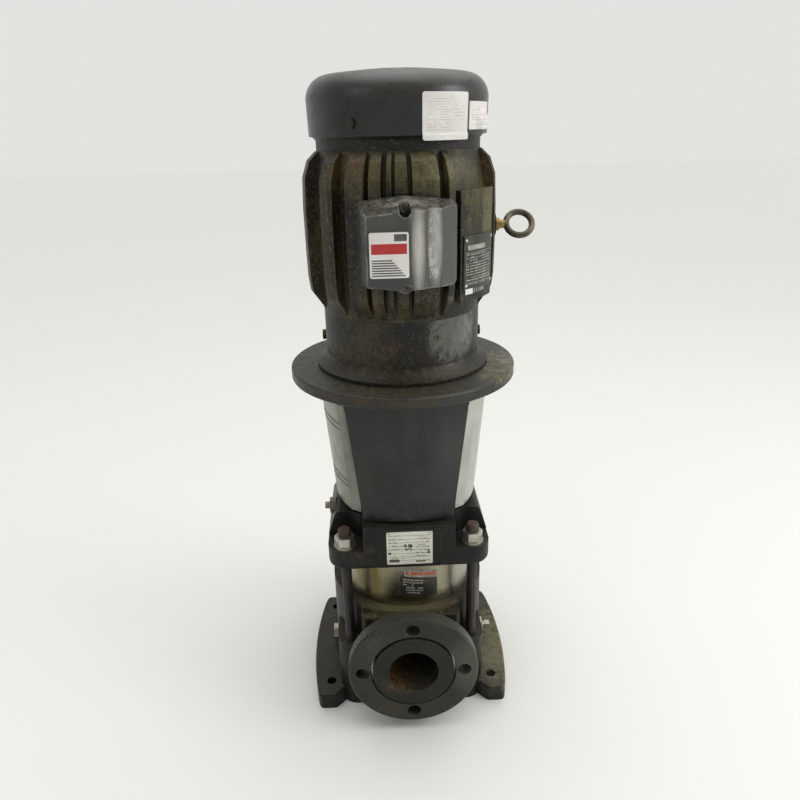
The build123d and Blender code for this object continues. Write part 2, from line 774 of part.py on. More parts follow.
# Split coupling that joins the pump shaft to the motor shaft
motor_shaft_bottom = pump_shaft_top + 8
coupling_gap = 2.0
clamp_screw_offset = 28.0
clamp_screw_radius = 5.0
shaft_split = (pump_shaft_top + motor_shaft_bottom) / 2
clamp_heights = (coupling_bottom + 20, coupling_top - 20)
pin_height = coupling_bottom + 27
pin_radius = 4.0
for label, side in (("coupling_front", -1), ("coupling_rear", 1)):
    with BuildPart() as half:
        turned([
            (pump_shaft_radius, coupling_bottom), (coupling_radius - 3, coupling_bottom),
            (coupling_radius, coupling_bottom + 3), (coupling_radius, coupling_top - 3),
            (coupling_radius - 3, coupling_top), (motor_shaft_radius, coupling_top),
            (motor_shaft_radius, shaft_split), (pump_shaft_radius, shaft_split),
        ])
        with BuildSketch(Plane.XY.offset(coupling_bottom)):
            with Locations((0, -side * (coupling_radius - coupling_gap / 2))):
                Rectangle(2 * coupling_radius, 2 * coupling_radius)
        extrude(amount=coupling_length, mode=Mode.SUBTRACT)
        # Flats and holes for the clamping screws
        for height in clamp_heights:
            for across in (-clamp_screw_offset, clamp_screw_offset):
                with BuildSketch(Plane.XZ.offset(-side * 14)):
                    with Locations((across, height)):
                        Rectangle(20, 20)
                extrude(amount=-side * coupling_radius, mode=Mode.SUBTRACT)
                with BuildSketch(Plane.XZ):
                    with Locations((across, height)):
                        Circle(clamp_screw_radius + bolt_fit)
                extrude(amount=-side * coupling_radius, mode=Mode.SUBTRACT)
        with BuildSketch(Plane.XZ):
            with Locations((0, pin_height)):
                Circle(pin_radius + bolt_fit)
        extrude(amount=-side * (coupling_radius - 8), mode=Mode.SUBTRACT)
    keep(label, half)

with BuildPart() as coupling_screws:
    for height in clamp_heights:
        for across in (-clamp_screw_offset, clamp_screw_offset):
            with BuildSketch(Plane.XZ.offset(14)):
                with Locations((across, height)):
                    Circle(8)
                    RegularPolygon(4, 6, major_radius=False, mode=Mode.SUBTRACT)
            extrude(amount=9)
            with BuildSketch(Plane.XZ.offset(16)):
                with Locations((across, height)):
                    Circle(clamp_screw_radius)
            extrude(amount=-34)
keep("coupling_screws", coupling_screws)

pin_half_length = coupling_radius - 10
with BuildPart() as coupling_pin:
    with BuildSketch(Plane.XZ.offset(-pin_half_length)):
        with Locations((0, pin_height)):
            Circle(pin_radius)
    extrude(amount=2 * pin_half_length)
keep("coupling_pin", coupling_pin)

with BuildPart() as pump_shaft:
    ring(0, pump_shaft_radius, shaft_bottom, pump_shaft_top)
    chamfer(edges().filter_by(GeomType.CIRCLE), 1)
    with BuildSketch(Plane.XZ.offset(-2 * pump_shaft_radius)):
        with Locations((0, pin_height)):
            Circle(pin_radius + bolt_fit)
    extrude(amount=4 * pump_shaft_radius, mode=Mode.SUBTRACT)
keep("pump_shaft", pump_shaft)

# --------------------------------------------------------------------- motor
flare_top = motor_face + 19
drain_aside = 16.0               # the drain plugs sit a little behind the widest point
drain_height = motor_face + 33
bearing_lower_radius = 40.0
bearing_lower_width = 21.0
bearing_lower_height = motor_face + 23
bearing_upper_radius = 31.0
bearing_upper_width = 16.0
bearing_upper_height = frame_top + 8
upper_journal_radius = 15.0
tail_radius = 14.0
bell_wall = 7.0
cover_boss_radius = 103.6
with BuildPart() as drive_end_bell:
    with BuildSketch(Plane.XZ):
        with BuildLine():
            face = Polyline(
                (motor_shaft_radius + 1, motor_face - register_depth + 0.5),
                (motor_register_radius, motor_face - register_depth + 0.5),
                (motor_register_radius, motor_face),
                (motor_flange_radius, motor_face),
                (motor_flange_radius, motor_face + 5),
            )
            flare = RadiusArc(face @ 1, (end_bell_radius, flare_top), 26)
            shell = Polyline(
                flare @ 1,
                (end_bell_radius, seam_height),
                (end_bell_radius - bell_wall, seam_height),
                (end_bell_radius - bell_wall, flare_top + 6),
                (bearing_lower_radius + 12, flare_top + 6),
                (bearing_lower_radius + 8, seam_height - 2),
                (bearing_lower_radius, seam_height - 2),
                (bearing_lower_radius, bearing_lower_height),
                (motor_shaft_radius + 1, bearing_lower_height),
            )
            Line(shell @ 1, face @ 0)
        make_face()
    revolve(axis=Axis.Z)
    with BuildSketch(Plane.XY.offset(motor_face - register_depth)):
        with PolarLocations(motor_bolt_circle / 2, 4, start_angle=45):
            Circle(motor_bolt_radius + bolt_fit)
    extrude(amount=19, mode=Mode.SUBTRACT)
    for side in (-1, 1):
        with BuildSketch(Plane.YZ.offset(side * (end_bell_radius + 2))):
            with Locations((drain_aside, drain_height)):
                Circle(4 + bolt_fit)
        extrude(amount=-side * 14, mode=Mode.SUBTRACT)
keep("drive_end_bell", drive_end_bell)

with BuildPart() as motor_drain_plugs:
    for side in (-1, 1):
        with BuildSketch(Plane.YZ.offset(side * (end_bell_radius))):
            with Locations((drain_aside, drain_height)):
                RegularPolygon(6, 6, major_radius=False)
        extrude(amount=side * 6)
        with BuildSketch(Plane.YZ.offset(side * (end_bell_radius + 2))):
            with Locations((drain_aside, drain_height)):
                Circle(4)
        extrude(amount=-side * 10)
keep("motor_drain_plugs", motor_drain_plugs)

with BuildPart() as motor_bolts:
    with BuildSketch(Plane.XY.offset(disc_bottom)):
        with PolarLocations(motor_bolt_circle / 2, 4, start_angle=45):
            RegularPolygon(9.5, 6, major_radius=False)
    extrude(amount=-8)
    with BuildSketch(Plane.XY.offset(disc_bottom - 2)):
        with PolarLocations(motor_bolt_circle / 2, 4, start_angle=45):
            Circle(motor_bolt_radius)
    extrude(amount=stool_disc_thickness + 14)
keep("motor_bolts", motor_bolts)

# Finned frame
fin_low_start = seam_height + 32
fin_high_end = frame_top - 24
fin_neck = 99.0
box_middle = 3.0                # X of the conduit box's centre
box_half_width = 54.5
box_half_height = 45.0          # at the corners
box_crown = 5.5                 # rise of the middle of its top and bottom edges
box_seat = 116.0                # Y distance of the pad under the conduit box
lead_hole_radius = 15.0
eyebolt_reach = fin_radius + 1.5
eyebolt_height = seam_height + 98
motor_plate_angle = -41.0
motor_plate_half_angle = 14.0
motor_plate_low = seam_height + 36
motor_plate_high = motor_plate_low + 62
motor_plate_radius = fin_radius + 0.6


def sector(inner, outer, centre, half_angle, low, high):
    """Block bounded by two radii and two angles about the shaft axis."""
    with BuildSketch(Plane.XY.offset(low)) as outline:
        with BuildLine():
            first = centre - half_angle
            last = centre + half_angle
            out = CenterArc((0, 0), outer, first, last - first)
            back = CenterArc((0, 0), inner, first, last - first)
            Line(out @ 0, back @ 0)
            Line(out @ 1, back @ 1)
        make_face()
    return extrude(outline.sketch, amount=high - low, mode=Mode.PRIVATE)


def frame_rib(first, last):
    """Axial rib of the motor frame, tapered at both ends, between two angles about the shaft."""
    turn = radians(first)
    side = Plane(origin=(0, 0, 0), x_dir=(cos(turn), sin(turn), 0), z_dir=(sin(turn), -cos(turn), 0))
    with BuildSketch(side) as outline:
        with BuildLine():
            Polyline(
                (frame_bore_radius + 4, seam_height + 3),
                (frame_core_radius, seam_height + 3),
                (fin_radius - 2.5, fin_low_start - 6),
                (fin_radius - 0.5, fin_low_start + 10),
                (fin_radius, fin_low_start + 43),
                (fin_radius, fin_high_end - 42),
                (fin_radius - 1.5, fin_high_end - 6),
                (fin_radius - 8, fin_high_end + 13),
                (fin_neck + 2, frame_top - 1),
                (frame_bore_radius + 4, frame_top - 1),
                close=True,
            )
        make_face()
    return revolve(outline.sketch, axis=Axis.Z, revolution_arc=last - first, mode=Mode.PRIVATE)


# Ribs on the front, each from one angle to another, and the even fins round the rest
front_ribs = (
    (-172, -161), (-141.5, -131.5), (-122.5, -111.5), (-108.5, -102), (-98.8, -96.2),
    (-94.2, -87.8), (-85, -70), (-64.5, -60.5),
)
fin_angle = 2.6
first_fin = -18.0
last_fin = 180.0
fin_count = 22
fins = [first_fin + (last_fin - first_fin) * index / (fin_count - 1) for index in range(fin_count)]

with BuildPart() as motor_frame:
    with BuildSketch(Plane.XZ):
        with BuildLine():
            low = Line((frame_bore_radius, seam_height), (frame_core_radius, seam_height))
            belly = Spline(
                low @ 1,
                (frame_core_radius + 3, seam_height + 30),
                (frame_core_radius + 4, (seam_height + frame_top) / 2),
                (frame_core_radius + 3, frame_top - 34),
                (fin_neck + 0.5, frame_top - 8),
            )
            Polyline(
                belly @ 1,
                (fin_neck + 0.5, frame_top),
                (frame_bore_radius, frame_top),
                low @ 0,
            )
        make_face()
    revolve(axis=Axis.Z)
    for first, last in front_ribs:
        add(frame_rib(first, last))
    for middle in fins:
        add(frame_rib(middle - fin_angle / 2, middle + fin_angle / 2))
    # Smooth seat for the rating plate
    add(sector(
        frame_core_radius - 2, fin_radius, motor_plate_angle, motor_plate_half_angle + 2,
        motor_plate_low - 14, motor_plate_high + 50,
    ))
    # Flat pad and cable neck under the conduit box
    with BuildSketch(Plane.XZ.offset(box_seat)):
        with Locations((box_middle, box_height)):
            Rectangle(2 * box_half_width + 8, 2 * (box_half_height + box_crown) + 4)
    extrude(amount=20, mode=Mode.SUBTRACT)
    with BuildSketch(Plane.XZ.offset(box_seat)):
        with Locations((0, box_height)):
            RectangleRounded(76, 66, 8)
    extrude(amount=-(box_seat - frame_core_radius + 8))
    with BuildSketch(Plane.XY.offset(seam_height)):
        Circle(frame_bore_radius)
    extrude(amount=frame_top, mode=Mode.SUBTRACT)
    with BuildSketch(Plane.XZ.offset(box_seat)):
        with Locations((0, box_height)):
            Circle(lead_hole_radius)
    extrude(amount=-(box_seat - frame_bore_radius + 8), mode=Mode.SUBTRACT)
    # Boss for the eyebolt
    with BuildSketch(Plane.YZ.offset(frame_bore_radius + 3)):
        with Locations((0, eyebolt_height)):
            Circle(14)
    extrude(amount=eyebolt_reach - frame_bore_radius - 3)
    with BuildSketch(Plane.YZ.offset(eyebolt_reach)):
        with Locations((0, eyebolt_height)):
            Circle(4.5 + bolt_fit)
    extrude(amount=-20, mode=Mode.SUBTRACT)
keep("motor_frame", motor_frame)


def radial_plane(angle, distance, height):
    """Plane whose normal points away from the shaft axis at an angle about it."""
    across = radians(angle)
    outward = (cos(across), sin(across), 0)
    origin = (distance * outward[0], distance * outward[1], height)
    return Plane(origin=origin, x_dir=(-outward[1], outward[0], 0), z_dir=outward)


cover_screw_height = fan_cover_bottom + 13
cover_screw_radius = 3.0
cover_screw_angles = (60, 150, 240, 330)
with BuildPart() as fan_end_bell:
    turned([
        (fin_neck, frame_top), (fin_neck, frame_top + 11), (cover_boss_radius, fan_cover_bottom + 1),
        (cover_boss_radius, fan_cover_bottom + 22), (fin_neck - 5, fan_cover_bottom + 22),
        (fin_neck - 5, frame_top + 17), (bearing_upper_radius + 10, frame_top + 27),
        (bearing_upper_radius + 7, frame_top + 31), (upper_journal_radius + 1.5, frame_top + 31),
        (upper_journal_radius + 1.5, bearing_upper_height + bearing_upper_width),
        (bearing_upper_radius, bearing_upper_height + bearing_upper_width),
        (bearing_upper_radius, bearing_upper_height - 4),
        (bearing_upper_radius + 6, bearing_upper_height - 4),
        (bearing_upper_radius + 8, frame_top + 4), (frame_bore_radius - 0.3, frame_top + 4),
        (frame_bore_radius - 0.3, frame_top),
    ])
    for angle in cover_screw_angles:
        with BuildSketch(radial_plane(angle, cover_boss_radius + 1, cover_screw_height)):
            Circle(cover_screw_radius + bolt_fit)
        extrude(amount=-14, mode=Mode.SUBTRACT)
keep("fan_end_bell", fan_end_bell)

# Stator and rotor
core_bottom = seam_height + 40
core_top = core_bottom + core_length
with BuildPart() as stator_core:
    ring(rotor_radius + 0.6, frame_bore_radius, core_bottom, core_top)
keep("stator_core", stator_core)

with BuildPart() as stator_windings:
    for low, high in ((core_bottom - 24, core_bottom), (core_top, core_top + 22)):
        turned([
            (rotor_radius + 6, low + 4), (rotor_radius + 10, low), (frame_bore_radius - 8, low),
            (frame_bore_radius - 5, low + 4), (frame_bore_radius - 5, high - 3),
            (frame_bore_radius - 8, high), (rotor_radius + 8, high), (rotor_radius + 6, high - 3),
        ])
keep("stator_windings", stator_windings)

rotor_bore = motor_shaft_radius + 6.5
with BuildPart() as motor_rotor:
    turned([
        (rotor_bore, core_bottom), (rotor_radius - 14, core_bottom), (rotor_radius - 14, core_bottom - 9),
        (rotor_radius - 2, core_bottom - 9), (rotor_radius - 2, core_bottom), (rotor_radius, core_bottom),
        (rotor_radius, core_top), (rotor_radius - 2, core_top), (rotor_radius - 2, core_top + 9),
        (rotor_radius - 14, core_top + 9), (rotor_radius - 14, core_top), (rotor_bore, core_top),
    ])
keep("motor_rotor", motor_rotor)

race_wall = 5.0
fan_low = fan_cover_bottom + 24
shaft_tail = fan_low + 26
with BuildPart() as motor_shaft:
    turned([
        (0, motor_shaft_bottom), (motor_shaft_radius - 1.5, motor_shaft_bottom),
        (motor_shaft_radius, motor_shaft_bottom + 1.5),
        (motor_shaft_radius, bearing_lower_height + bearing_lower_width),
        (motor_shaft_radius + 3, bearing_lower_height + bearing_lower_width),
        (motor_shaft_radius + 3, core_bottom), (rotor_bore, core_bottom), (rotor_bore, core_top),
        (motor_shaft_radius, core_top), (motor_shaft_radius, bearing_upper_height),
        (upper_journal_radius, bearing_upper_height),
        (upper_journal_radius, bearing_upper_height + bearing_upper_width),
        (tail_radius, bearing_upper_height + bearing_upper_width),
        (tail_radius, shaft_tail), (0, shaft_tail),
    ])
keep("motor_shaft", motor_shaft)

# Ball bearings: outer races and balls stand still, inner races turn with the shaft
bearings = (
    (motor_shaft_radius, bearing_lower_radius, bearing_lower_height, bearing_lower_width, 8, 6.2),
    (upper_journal_radius, bearing_upper_radius, bearing_upper_height, bearing_upper_width, 8, 4.3),
)
with BuildPart() as bearing_outer_races:
    for bore, outside, low, width, count, ball in bearings:
        ring(outside - race_wall, outside, low, low + width)
        with Locations((0, 0, low + width / 2)):
            Torus((bore + outside) / 2, ball + running_fit, mode=Mode.SUBTRACT)
keep("bearing_outer_races", bearing_outer_races)

with BuildPart() as bearing_balls:
    for bore, outside, low, width, count, ball in bearings:
        with Locations((0, 0, low + width / 2)):
            with PolarLocations((bore + outside) / 2, count):
                Sphere(ball)
keep("bearing_balls", bearing_balls)

with BuildPart() as bearing_inner_races:
    for bore, outside, low, width, count, ball in bearings:
        ring(bore, bore + race_wall, low, low + width)
        with Locations((0, 0, low + width / 2)):
            Torus((bore + outside) / 2, ball + loose_fit, mode=Mode.SUBTRACT)
keep("bearing_inner_races", bearing_inner_races)

# Cooling fan and its cover
fan_blade_count = 8
fan_radius = 92.0
with BuildPart() as fan_blade:
    with BuildSketch(Plane.XZ.offset(-1.5)):
        with BuildLine():
            Polyline(
                (23, fan_low), (60, fan_low), (fan_radius, fan_low + 6),
                (fan_radius, fan_low + 23), (23, fan_low + 23), close=True,
            )
        make_face()
    extrude(amount=3)

with BuildPart() as cooling_fan:
    ring(tail_radius, 24, fan_low, fan_low + 24)
    ring(23, fan_radius, fan_low + 22, fan_low + 24)
    with PolarLocations(0, fan_blade_count):
        add(fan_blade.part)
keep("cooling_fan", cooling_fan)

cover_corner = 24.0

with BuildPart() as fan_cover:
    with BuildSketch(Plane.XZ):
        with BuildLine():
            outside = Polyline(
                (0, fan_cover_top), (fan_cover_radius - cover_corner - 34, fan_cover_top - 1.5),
                (fan_cover_radius - cover_corner, fan_cover_top - 5),
            )
            corner = RadiusArc(outside @ 1, (fan_cover_radius, fan_cover_top - cover_corner - 7), 27)
            Polyline(
                corner @ 1, (fan_cover_radius - 1.2, fan_cover_bottom), (0, fan_cover_bottom), outside @ 0
            )
        make_face()
    revolve(axis=Axis.Z)
    mouth = faces().sort_by(Axis.Z)[0]
    offset(amount=-fan_cover_wall, openings=mouth)
    # Air inlet slots in the top
    with BuildSketch(Plane.XY.offset(fan_cover_top - 12)):
        with BuildLine():
            for radius in (38, 56, 74):
                for index in range(8):
                    CenterArc((0, 0), radius, 4 + index * 45, 37)
        trace(line_width=8)
    extrude(amount=20, mode=Mode.SUBTRACT)
    for angle in cover_screw_angles:
        with BuildSketch(radial_plane(angle, cover_boss_radius - 2, cover_screw_height)):
            Circle(cover_screw_radius + bolt_fit)
        extrude(amount=10, mode=Mode.SUBTRACT)
keep("fan_cover", fan_cover)

cover_face_radius = fan_cover_radius - 0.6
with BuildPart() as fan_cover_screws:
    for angle in cover_screw_angles:
        with BuildSketch(radial_plane(angle, cover_face_radius, cover_screw_height)):
            RegularPolygon(5, 6, major_radius=False)
        extrude(amount=3.5)
        with BuildSketch(radial_plane(angle, cover_face_radius + 1, cover_screw_height)):
            Circle(cover_screw_radius)
        extrude(amount=-12)
keep("fan_cover_screws", fan_cover_screws)

# Conduit box on the front of the motor
tray_depth = 12.0
tray_front = box_seat + tray_depth
gasket_thickness = 1.5
box_wall = 3.0
cover_seat = tray_front + gasket_thickness
cover_depth = 52.0
cover_front = cover_seat + cover_depth
cover_taper = 11.0
box_corner = 8.0
box_screw_x = -1.0
box_screw_radius = 2.5
box_screw_offset = box_half_height + box_crown - 10
box_post_radius = 8.0           # runs into the tray's wall
screw_head_radius = 5.2
screw_head_seat = cover_seat + 22
screw_notch = 9.0


def box_outline(distance, inset):
    """Outline of the conduit box at one distance from the shaft, drawn in by an inset."""
    half_width = box_half_width - inset
    corner = box_half_height - inset
    crown = corner + box_crown
    with BuildSketch(Plane.XZ.offset(distance)) as outline:
        with BuildLine():
            Polyline(
                (box_middle - half_width, box_height - corner),
                (box_screw_x, box_height - crown),
                (box_middle + half_width, box_height - corner),
                (box_middle + half_width, box_height + corner),
                (box_screw_x, box_height + crown),
                (box_middle - half_width, box_height + corner),
                close=True,
            )
        make_face()
        corners = vertices().filter_by(lambda v: abs(v.X - box_screw_x) > 10)
        fillet(corners, box_corner - inset)
    return outline.sketch


with BuildPart() as conduit_box:
    extrude(box_outline(box_seat, 0), amount=tray_depth)
    extrude(box_outline(box_seat + box_wall, box_wall), amount=tray_depth, mode=Mode.SUBTRACT)
    with BuildSketch(Plane.XZ.offset(box_seat)):
        with Locations((0, box_height)):
            Circle(lead_hole_radius)
    extrude(amount=box_wall, mode=Mode.SUBTRACT)
    # Posts for the cover screws
    for side in (-1, 1):
        with BuildSketch(Plane.XZ.offset(box_seat)):
            with Locations((box_screw_x, box_height + side * box_screw_offset)):
                Circle(box_post_radius)
                Circle(box_screw_radius + bolt_fit, mode=Mode.SUBTRACT)
        extrude(amount=tray_depth)
keep("conduit_box", conduit_box)

with BuildPart() as conduit_gasket:
    extrude(box_outline(tray_front, 0), amount=gasket_thickness)
    extrude(box_outline(tray_front, box_wall), amount=gasket_thickness, mode=Mode.SUBTRACT)
keep("conduit_gasket", conduit_gasket)


def cover_plan(inset):
    """Plan of the cover: a flat face on the left, then two upright folds that step back."""
    left = box_middle - box_half_width + inset
    right = box_middle + box_half_width - inset
    front = -cover_front + inset
    low = box_height - box_half_height - box_crown - 5
    with BuildSketch(Plane.XY.offset(low)) as outline:
        with BuildLine():
            Polyline(
                (left, -cover_seat + 2), (left, front), (3 - inset / 2, front), (7 - inset / 2, front + 5),
                (18 - inset / 2, front + 5), (25 - inset / 2, front + 15), (37 - inset / 2, front + 18),
                (right, front + 44), (right, -cover_seat + 2), close=True,
            )
        make_face()
        fillet(vertices().filter_by(lambda v: v.Y < -cover_seat - 1), 3.4)
    return outline.sketch


full_height = 2 * (box_half_height + box_crown) + 10
with BuildPart() as cover_hollow:
    extrude(box_outline(cover_seat, box_wall), amount=cover_depth, taper=cover_taper)
    extrude(cover_plan(box_wall), amount=full_height, mode=Mode.INTERSECT)

with BuildPart() as conduit_cover:
    extrude(box_outline(cover_seat, 0), amount=cover_depth + 5, taper=cover_taper)
    extrude(cover_plan(0), amount=full_height, mode=Mode.INTERSECT)
    add(cover_hollow.part, mode=Mode.SUBTRACT)
    # Pockets that sink the two cover screws
    for side in (-1, 1):
        with BuildSketch(Plane.XZ.offset(cover_seat)):
            with Locations((box_screw_x, box_height + side * box_screw_offset)):
                Circle(screw_notch)
        extrude(amount=screw_head_seat + box_wall - cover_seat)
        with BuildSketch(Plane.XZ.offset(screw_head_seat)):
            with Locations((box_screw_x, box_height + side * box_screw_offset)):
                Circle(screw_notch - box_wall)
            with Locations((box_screw_x, box_height + side * (box_screw_offset + 12))):
                Rectangle(2 * (screw_notch - box_wall), 24)
        extrude(amount=cover_depth, mode=Mode.SUBTRACT)
        with BuildSketch(Plane.XZ.offset(cover_seat)):
            with Locations((box_screw_x, box_height + side * box_screw_offset)):
                Circle(box_screw_radius + bolt_fit)
        extrude(amount=cover_depth, mode=Mode.SUBTRACT)
    extrude(cover_plan(-1), amount=full_height, mode=Mode.INTERSECT)
keep("conduit_cover", conduit_cover)

with BuildPart() as conduit_screws:
    for side in (-1, 1):
        with BuildSketch(Plane.XZ.offset(screw_head_seat)):
            with Locations((box_screw_x, box_height + side * box_screw_offset)):
                Circle(screw_head_radius)
        extrude(amount=4)
        with BuildSketch(Plane.XZ.offset(screw_head_seat + 4)):
            with Locations((box_screw_x, box_height + side * box_screw_offset)):
                Rectangle(12, 1.4, rotation=-50)
        extrude(amount=-2, mode=Mode.SUBTRACT)
        with BuildSketch(Plane.XZ.offset(screw_head_seat)):
            with Locations((box_screw_x, box_height + side * box_screw_offset)):
                Circle(box_screw_radius)
        extrude(amount=-30)
keep("conduit_screws", conduit_screws)

# Rating plate, bent to the frame
with BuildPart() as motor_nameplate:
    add(sector(
        motor_plate_radius, motor_plate_radius + 0.8, motor_plate_angle, motor_plate_half_angle,
        motor_plate_low, motor_plate_high,
    ))
keep("motor_nameplate", motor_nameplate)

rivet_radius = 1.8
with BuildPart() as plate_rivets:
    for across in (-plate_width / 2 + 3.5, plate_width / 2 - 3.5):
        for up in (-plate_height / 2 + 3.5, plate_height / 2 - 3.5):
            with BuildSketch(Plane.XZ.offset(head_half_y + 1.5 + 0.8)):
                with Locations((across, plate_centre + up)):
                    Circle(rivet_radius)
            extrude(amount=0.9)
    for turn in (-1, 1):
        for height in (motor_plate_low + 5, motor_plate_high - 5):
            angle = motor_plate_angle + turn * (motor_plate_half_angle - 1.6)
            with BuildSketch(radial_plane(angle, motor_plate_radius + 0.8, height)):
                Circle(rivet_radius)
            extrude(amount=0.9)
keep("plate_rivets", plate_rivets)

# Lifting eye screwed into the side of the frame
eye_ring_radius = 16.5
eye_section = 3.9
eye_neck = 6.5
eye_tilt = 37.0
eye_centre = eyebolt_reach + 4 + eye_neck + eye_ring_radius + eye_section
with BuildPart() as eyebolt:
    with BuildSketch(Plane.YZ.offset(eyebolt_reach)):
        with Locations((0, eyebolt_height)):
            Circle(4.5)
    extrude(amount=-18)
    with BuildSketch(Plane.YZ.offset(eyebolt_reach)):
        with Locations((0, eyebolt_height)):
            Circle(8)
    extrude(amount=5)
    with BuildSketch(Plane.YZ.offset(eyebolt_reach + 5)):
        with Locations((0, eyebolt_height)):
            Circle(6)
    extrude(amount=eye_neck + 3, taper=8)
    eye_plane = Plane(
        origin=(eye_centre, 0, eyebolt_height), x_dir=(1, 0, 0),
        z_dir=(0, -cos(radians(eye_tilt)), sin(radians(eye_tilt))),
    )
    with Locations(eye_plane):
        Torus(eye_ring_radius, eye_section)
keep("eyebolt", eyebolt)

os.makedirs("parts", exist_ok=True)
for label, part in pieces.items():
    part.label = label
    export_step(part, f"parts/{label}.step")
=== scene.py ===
import math
import random

import bmesh
import bpy
from mathutils import Matrix, Vector
from mathutils.bvhtree import BVHTree


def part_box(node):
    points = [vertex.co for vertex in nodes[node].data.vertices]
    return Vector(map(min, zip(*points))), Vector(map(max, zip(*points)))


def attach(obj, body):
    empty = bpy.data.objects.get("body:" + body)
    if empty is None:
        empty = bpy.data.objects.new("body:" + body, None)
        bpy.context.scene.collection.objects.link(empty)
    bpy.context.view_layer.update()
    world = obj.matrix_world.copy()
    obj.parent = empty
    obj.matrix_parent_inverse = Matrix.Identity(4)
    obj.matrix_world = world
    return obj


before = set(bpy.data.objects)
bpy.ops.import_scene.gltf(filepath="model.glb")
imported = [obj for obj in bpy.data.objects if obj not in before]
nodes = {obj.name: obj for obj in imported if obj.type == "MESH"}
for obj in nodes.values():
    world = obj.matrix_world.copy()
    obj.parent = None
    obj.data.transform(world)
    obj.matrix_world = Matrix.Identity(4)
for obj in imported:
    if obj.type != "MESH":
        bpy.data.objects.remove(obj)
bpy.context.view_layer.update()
random.seed(7)
print("frame loaded,", len(nodes), "nodes")

# camera

cameraLook = {
    "place": (-0.0335, -0.8712, 0.7921),
    "turn": 1.89,       # degrees from +Y towards +X
    "down": 21.9,
    "lean": -1.35,
    "lens": 30.26,
    "nearest": 0.01,
}


def makeCamera(look):
    turn, down, lean = (math.radians(look[key]) for key in ("turn", "down", "lean"))
    level = math.cos(down)
    ahead = Vector((math.sin(turn) * level, math.cos(turn) * level, -math.sin(down)))
    right = Vector((math.cos(turn), -math.sin(turn), 0))
    up = right.cross(ahead)
    leanedRight = right * math.cos(lean) + up * math.sin(lean)
    leanedUp = up * math.cos(lean) - right * math.sin(lean)
    camera = bpy.data.objects.new("camera", bpy.data.cameras.new("camera"))
    camera.data.lens = look["lens"]
    camera.data.clip_start = look["nearest"]
    axes = Matrix((leanedRight, leanedUp, -ahead)).transposed().to_4x4()
    camera.matrix_world = Matrix.Translation(look["place"]) @ axes
    bpy.context.scene.collection.objects.link(camera)
    bpy.context.scene.camera = camera


makeCamera(cameraLook)

# small helpers for building node materials


def addNode(tree, kind, links, **settings):
    node = tree.nodes.new("ShaderNode" + kind)
    for key, value in settings.items():
        setattr(node, key, value)
    for socket, value in links.items():
        if isinstance(value, bpy.types.NodeSocket):
            tree.links.new(value, node.inputs[socket])
        else:
            node.inputs[socket].default_value = value
    return node


def noise(tree, where, scale, detail, stretch=(1, 1, 1), shift=0.0):
    placed = addNode(tree, "Mapping", {
        "Vector": where, "Scale": stretch, "Location": (shift, shift, shift),
    })
    made = addNode(tree, "TexNoise", {
        "Vector": placed.outputs[0], "Scale": scale, "Detail": detail, "Roughness": 0.6,
    })
    return made.outputs["Fac"]


def ramp(tree, value, low, high, outLow=0.0, outHigh=1.0):
    made = addNode(tree, "MapRange", {
        "Value": value, "From Min": low, "From Max": high, "To Min": outLow, "To Max": outHigh,
    }, clamp=True)
    return made.outputs[0]


def maths(tree, operation, first, second):
    made = addNode(tree, "Math", {0: first, 1: second}, operation=operation, use_clamp=True)
    return made.outputs[0]


def times(tree, first, second):
    return maths(tree, "MULTIPLY", first, second)


def blend(tree, amount, first, second):
    made = addNode(tree, "Mix", {0: amount, 6: first, 7: second}, data_type="RGBA")
    return made.outputs[2]


def colour(values):
    return (*values, 1)


# floor and light

studio = {
    "floorColour": (0.712, 0.710, 0.682),
    "floorSize": 30.0,
    "floorRough": 0.6,
    "floorGloss": 0.1,
    "skyColour": (1.0, 1.0, 0.97),
    "skyDim": 0.30,           # brightness of the room in front of the pump
    "skyBright": 0.765,       # and of the pale wall behind, above and to the right
    "skyAim": (0.32, 0.80, 0.42),
    "skyFade": (-0.7, 0.55),  # how squarely the view meets that aim where the two levels begin
    "windowTilt": (8, 14),    # degrees that the wide overhead light leans back and to the right
    "windowSpread": 75,
    "windowStrength": 1.35,
    "lamps": [
        # name, place, aim, size, watts
        ("overhead", (-0.3, -0.1, 2.4), (0, 0, 0.5), 1.6, 8),
        ("frontLeft", (-1.8, -1.5, 1.7), (0, 0, 0.5), 1.2, 3.5),
        ("right", (2.1, -0.7, 1.5), (0, 0, 0.5), 1.2, 19),
    ],
}


def makeSky(scene, look):
    world = bpy.data.worlds.new("studio")
    world.use_nodes = True
    tree = world.node_tree
    sky = tree.nodes["Background"]
    toward = tree.nodes.new("ShaderNodeTexCoord").outputs["Generated"]
    facing = addNode(tree, "VectorMath", {0: toward, 1: look["skyAim"]}, operation="DOT_PRODUCT")
    levels = (*look["skyFade"], look["skyDim"], look["skyBright"])
    brightness = ramp(tree, facing.outputs["Value"], *levels)
    tree.links.new(brightness, sky.inputs["Strength"])
    sky.inputs["Color"].default_value = colour(look["skyColour"])
    scene.world = world


def makeLamps(scene, look):
    window = bpy.data.lights.new("window", "SUN")
    window.energy = look["windowStrength"]
    window.angle = math.radians(look["windowSpread"])
    holder = bpy.data.objects.new("window", window)
    back, right = (math.radians(lean) for lean in look["windowTilt"])
    holder.rotation_euler = (-back, right, 0)
    scene.collection.objects.link(holder)
    for name, place, aim, size, watts in look["lamps"]:
        lamp = bpy.data.lights.new(name, "AREA")
        lamp.size = size
        lamp.energy = watts
        holder = bpy.data.objects.new(name, lamp)
        holder.location = place
        toward = Vector(aim) - Vector(place)
        holder.rotation_euler = toward.to_track_quat("-Z", "Y").to_euler()
        scene.collection.objects.link(holder)


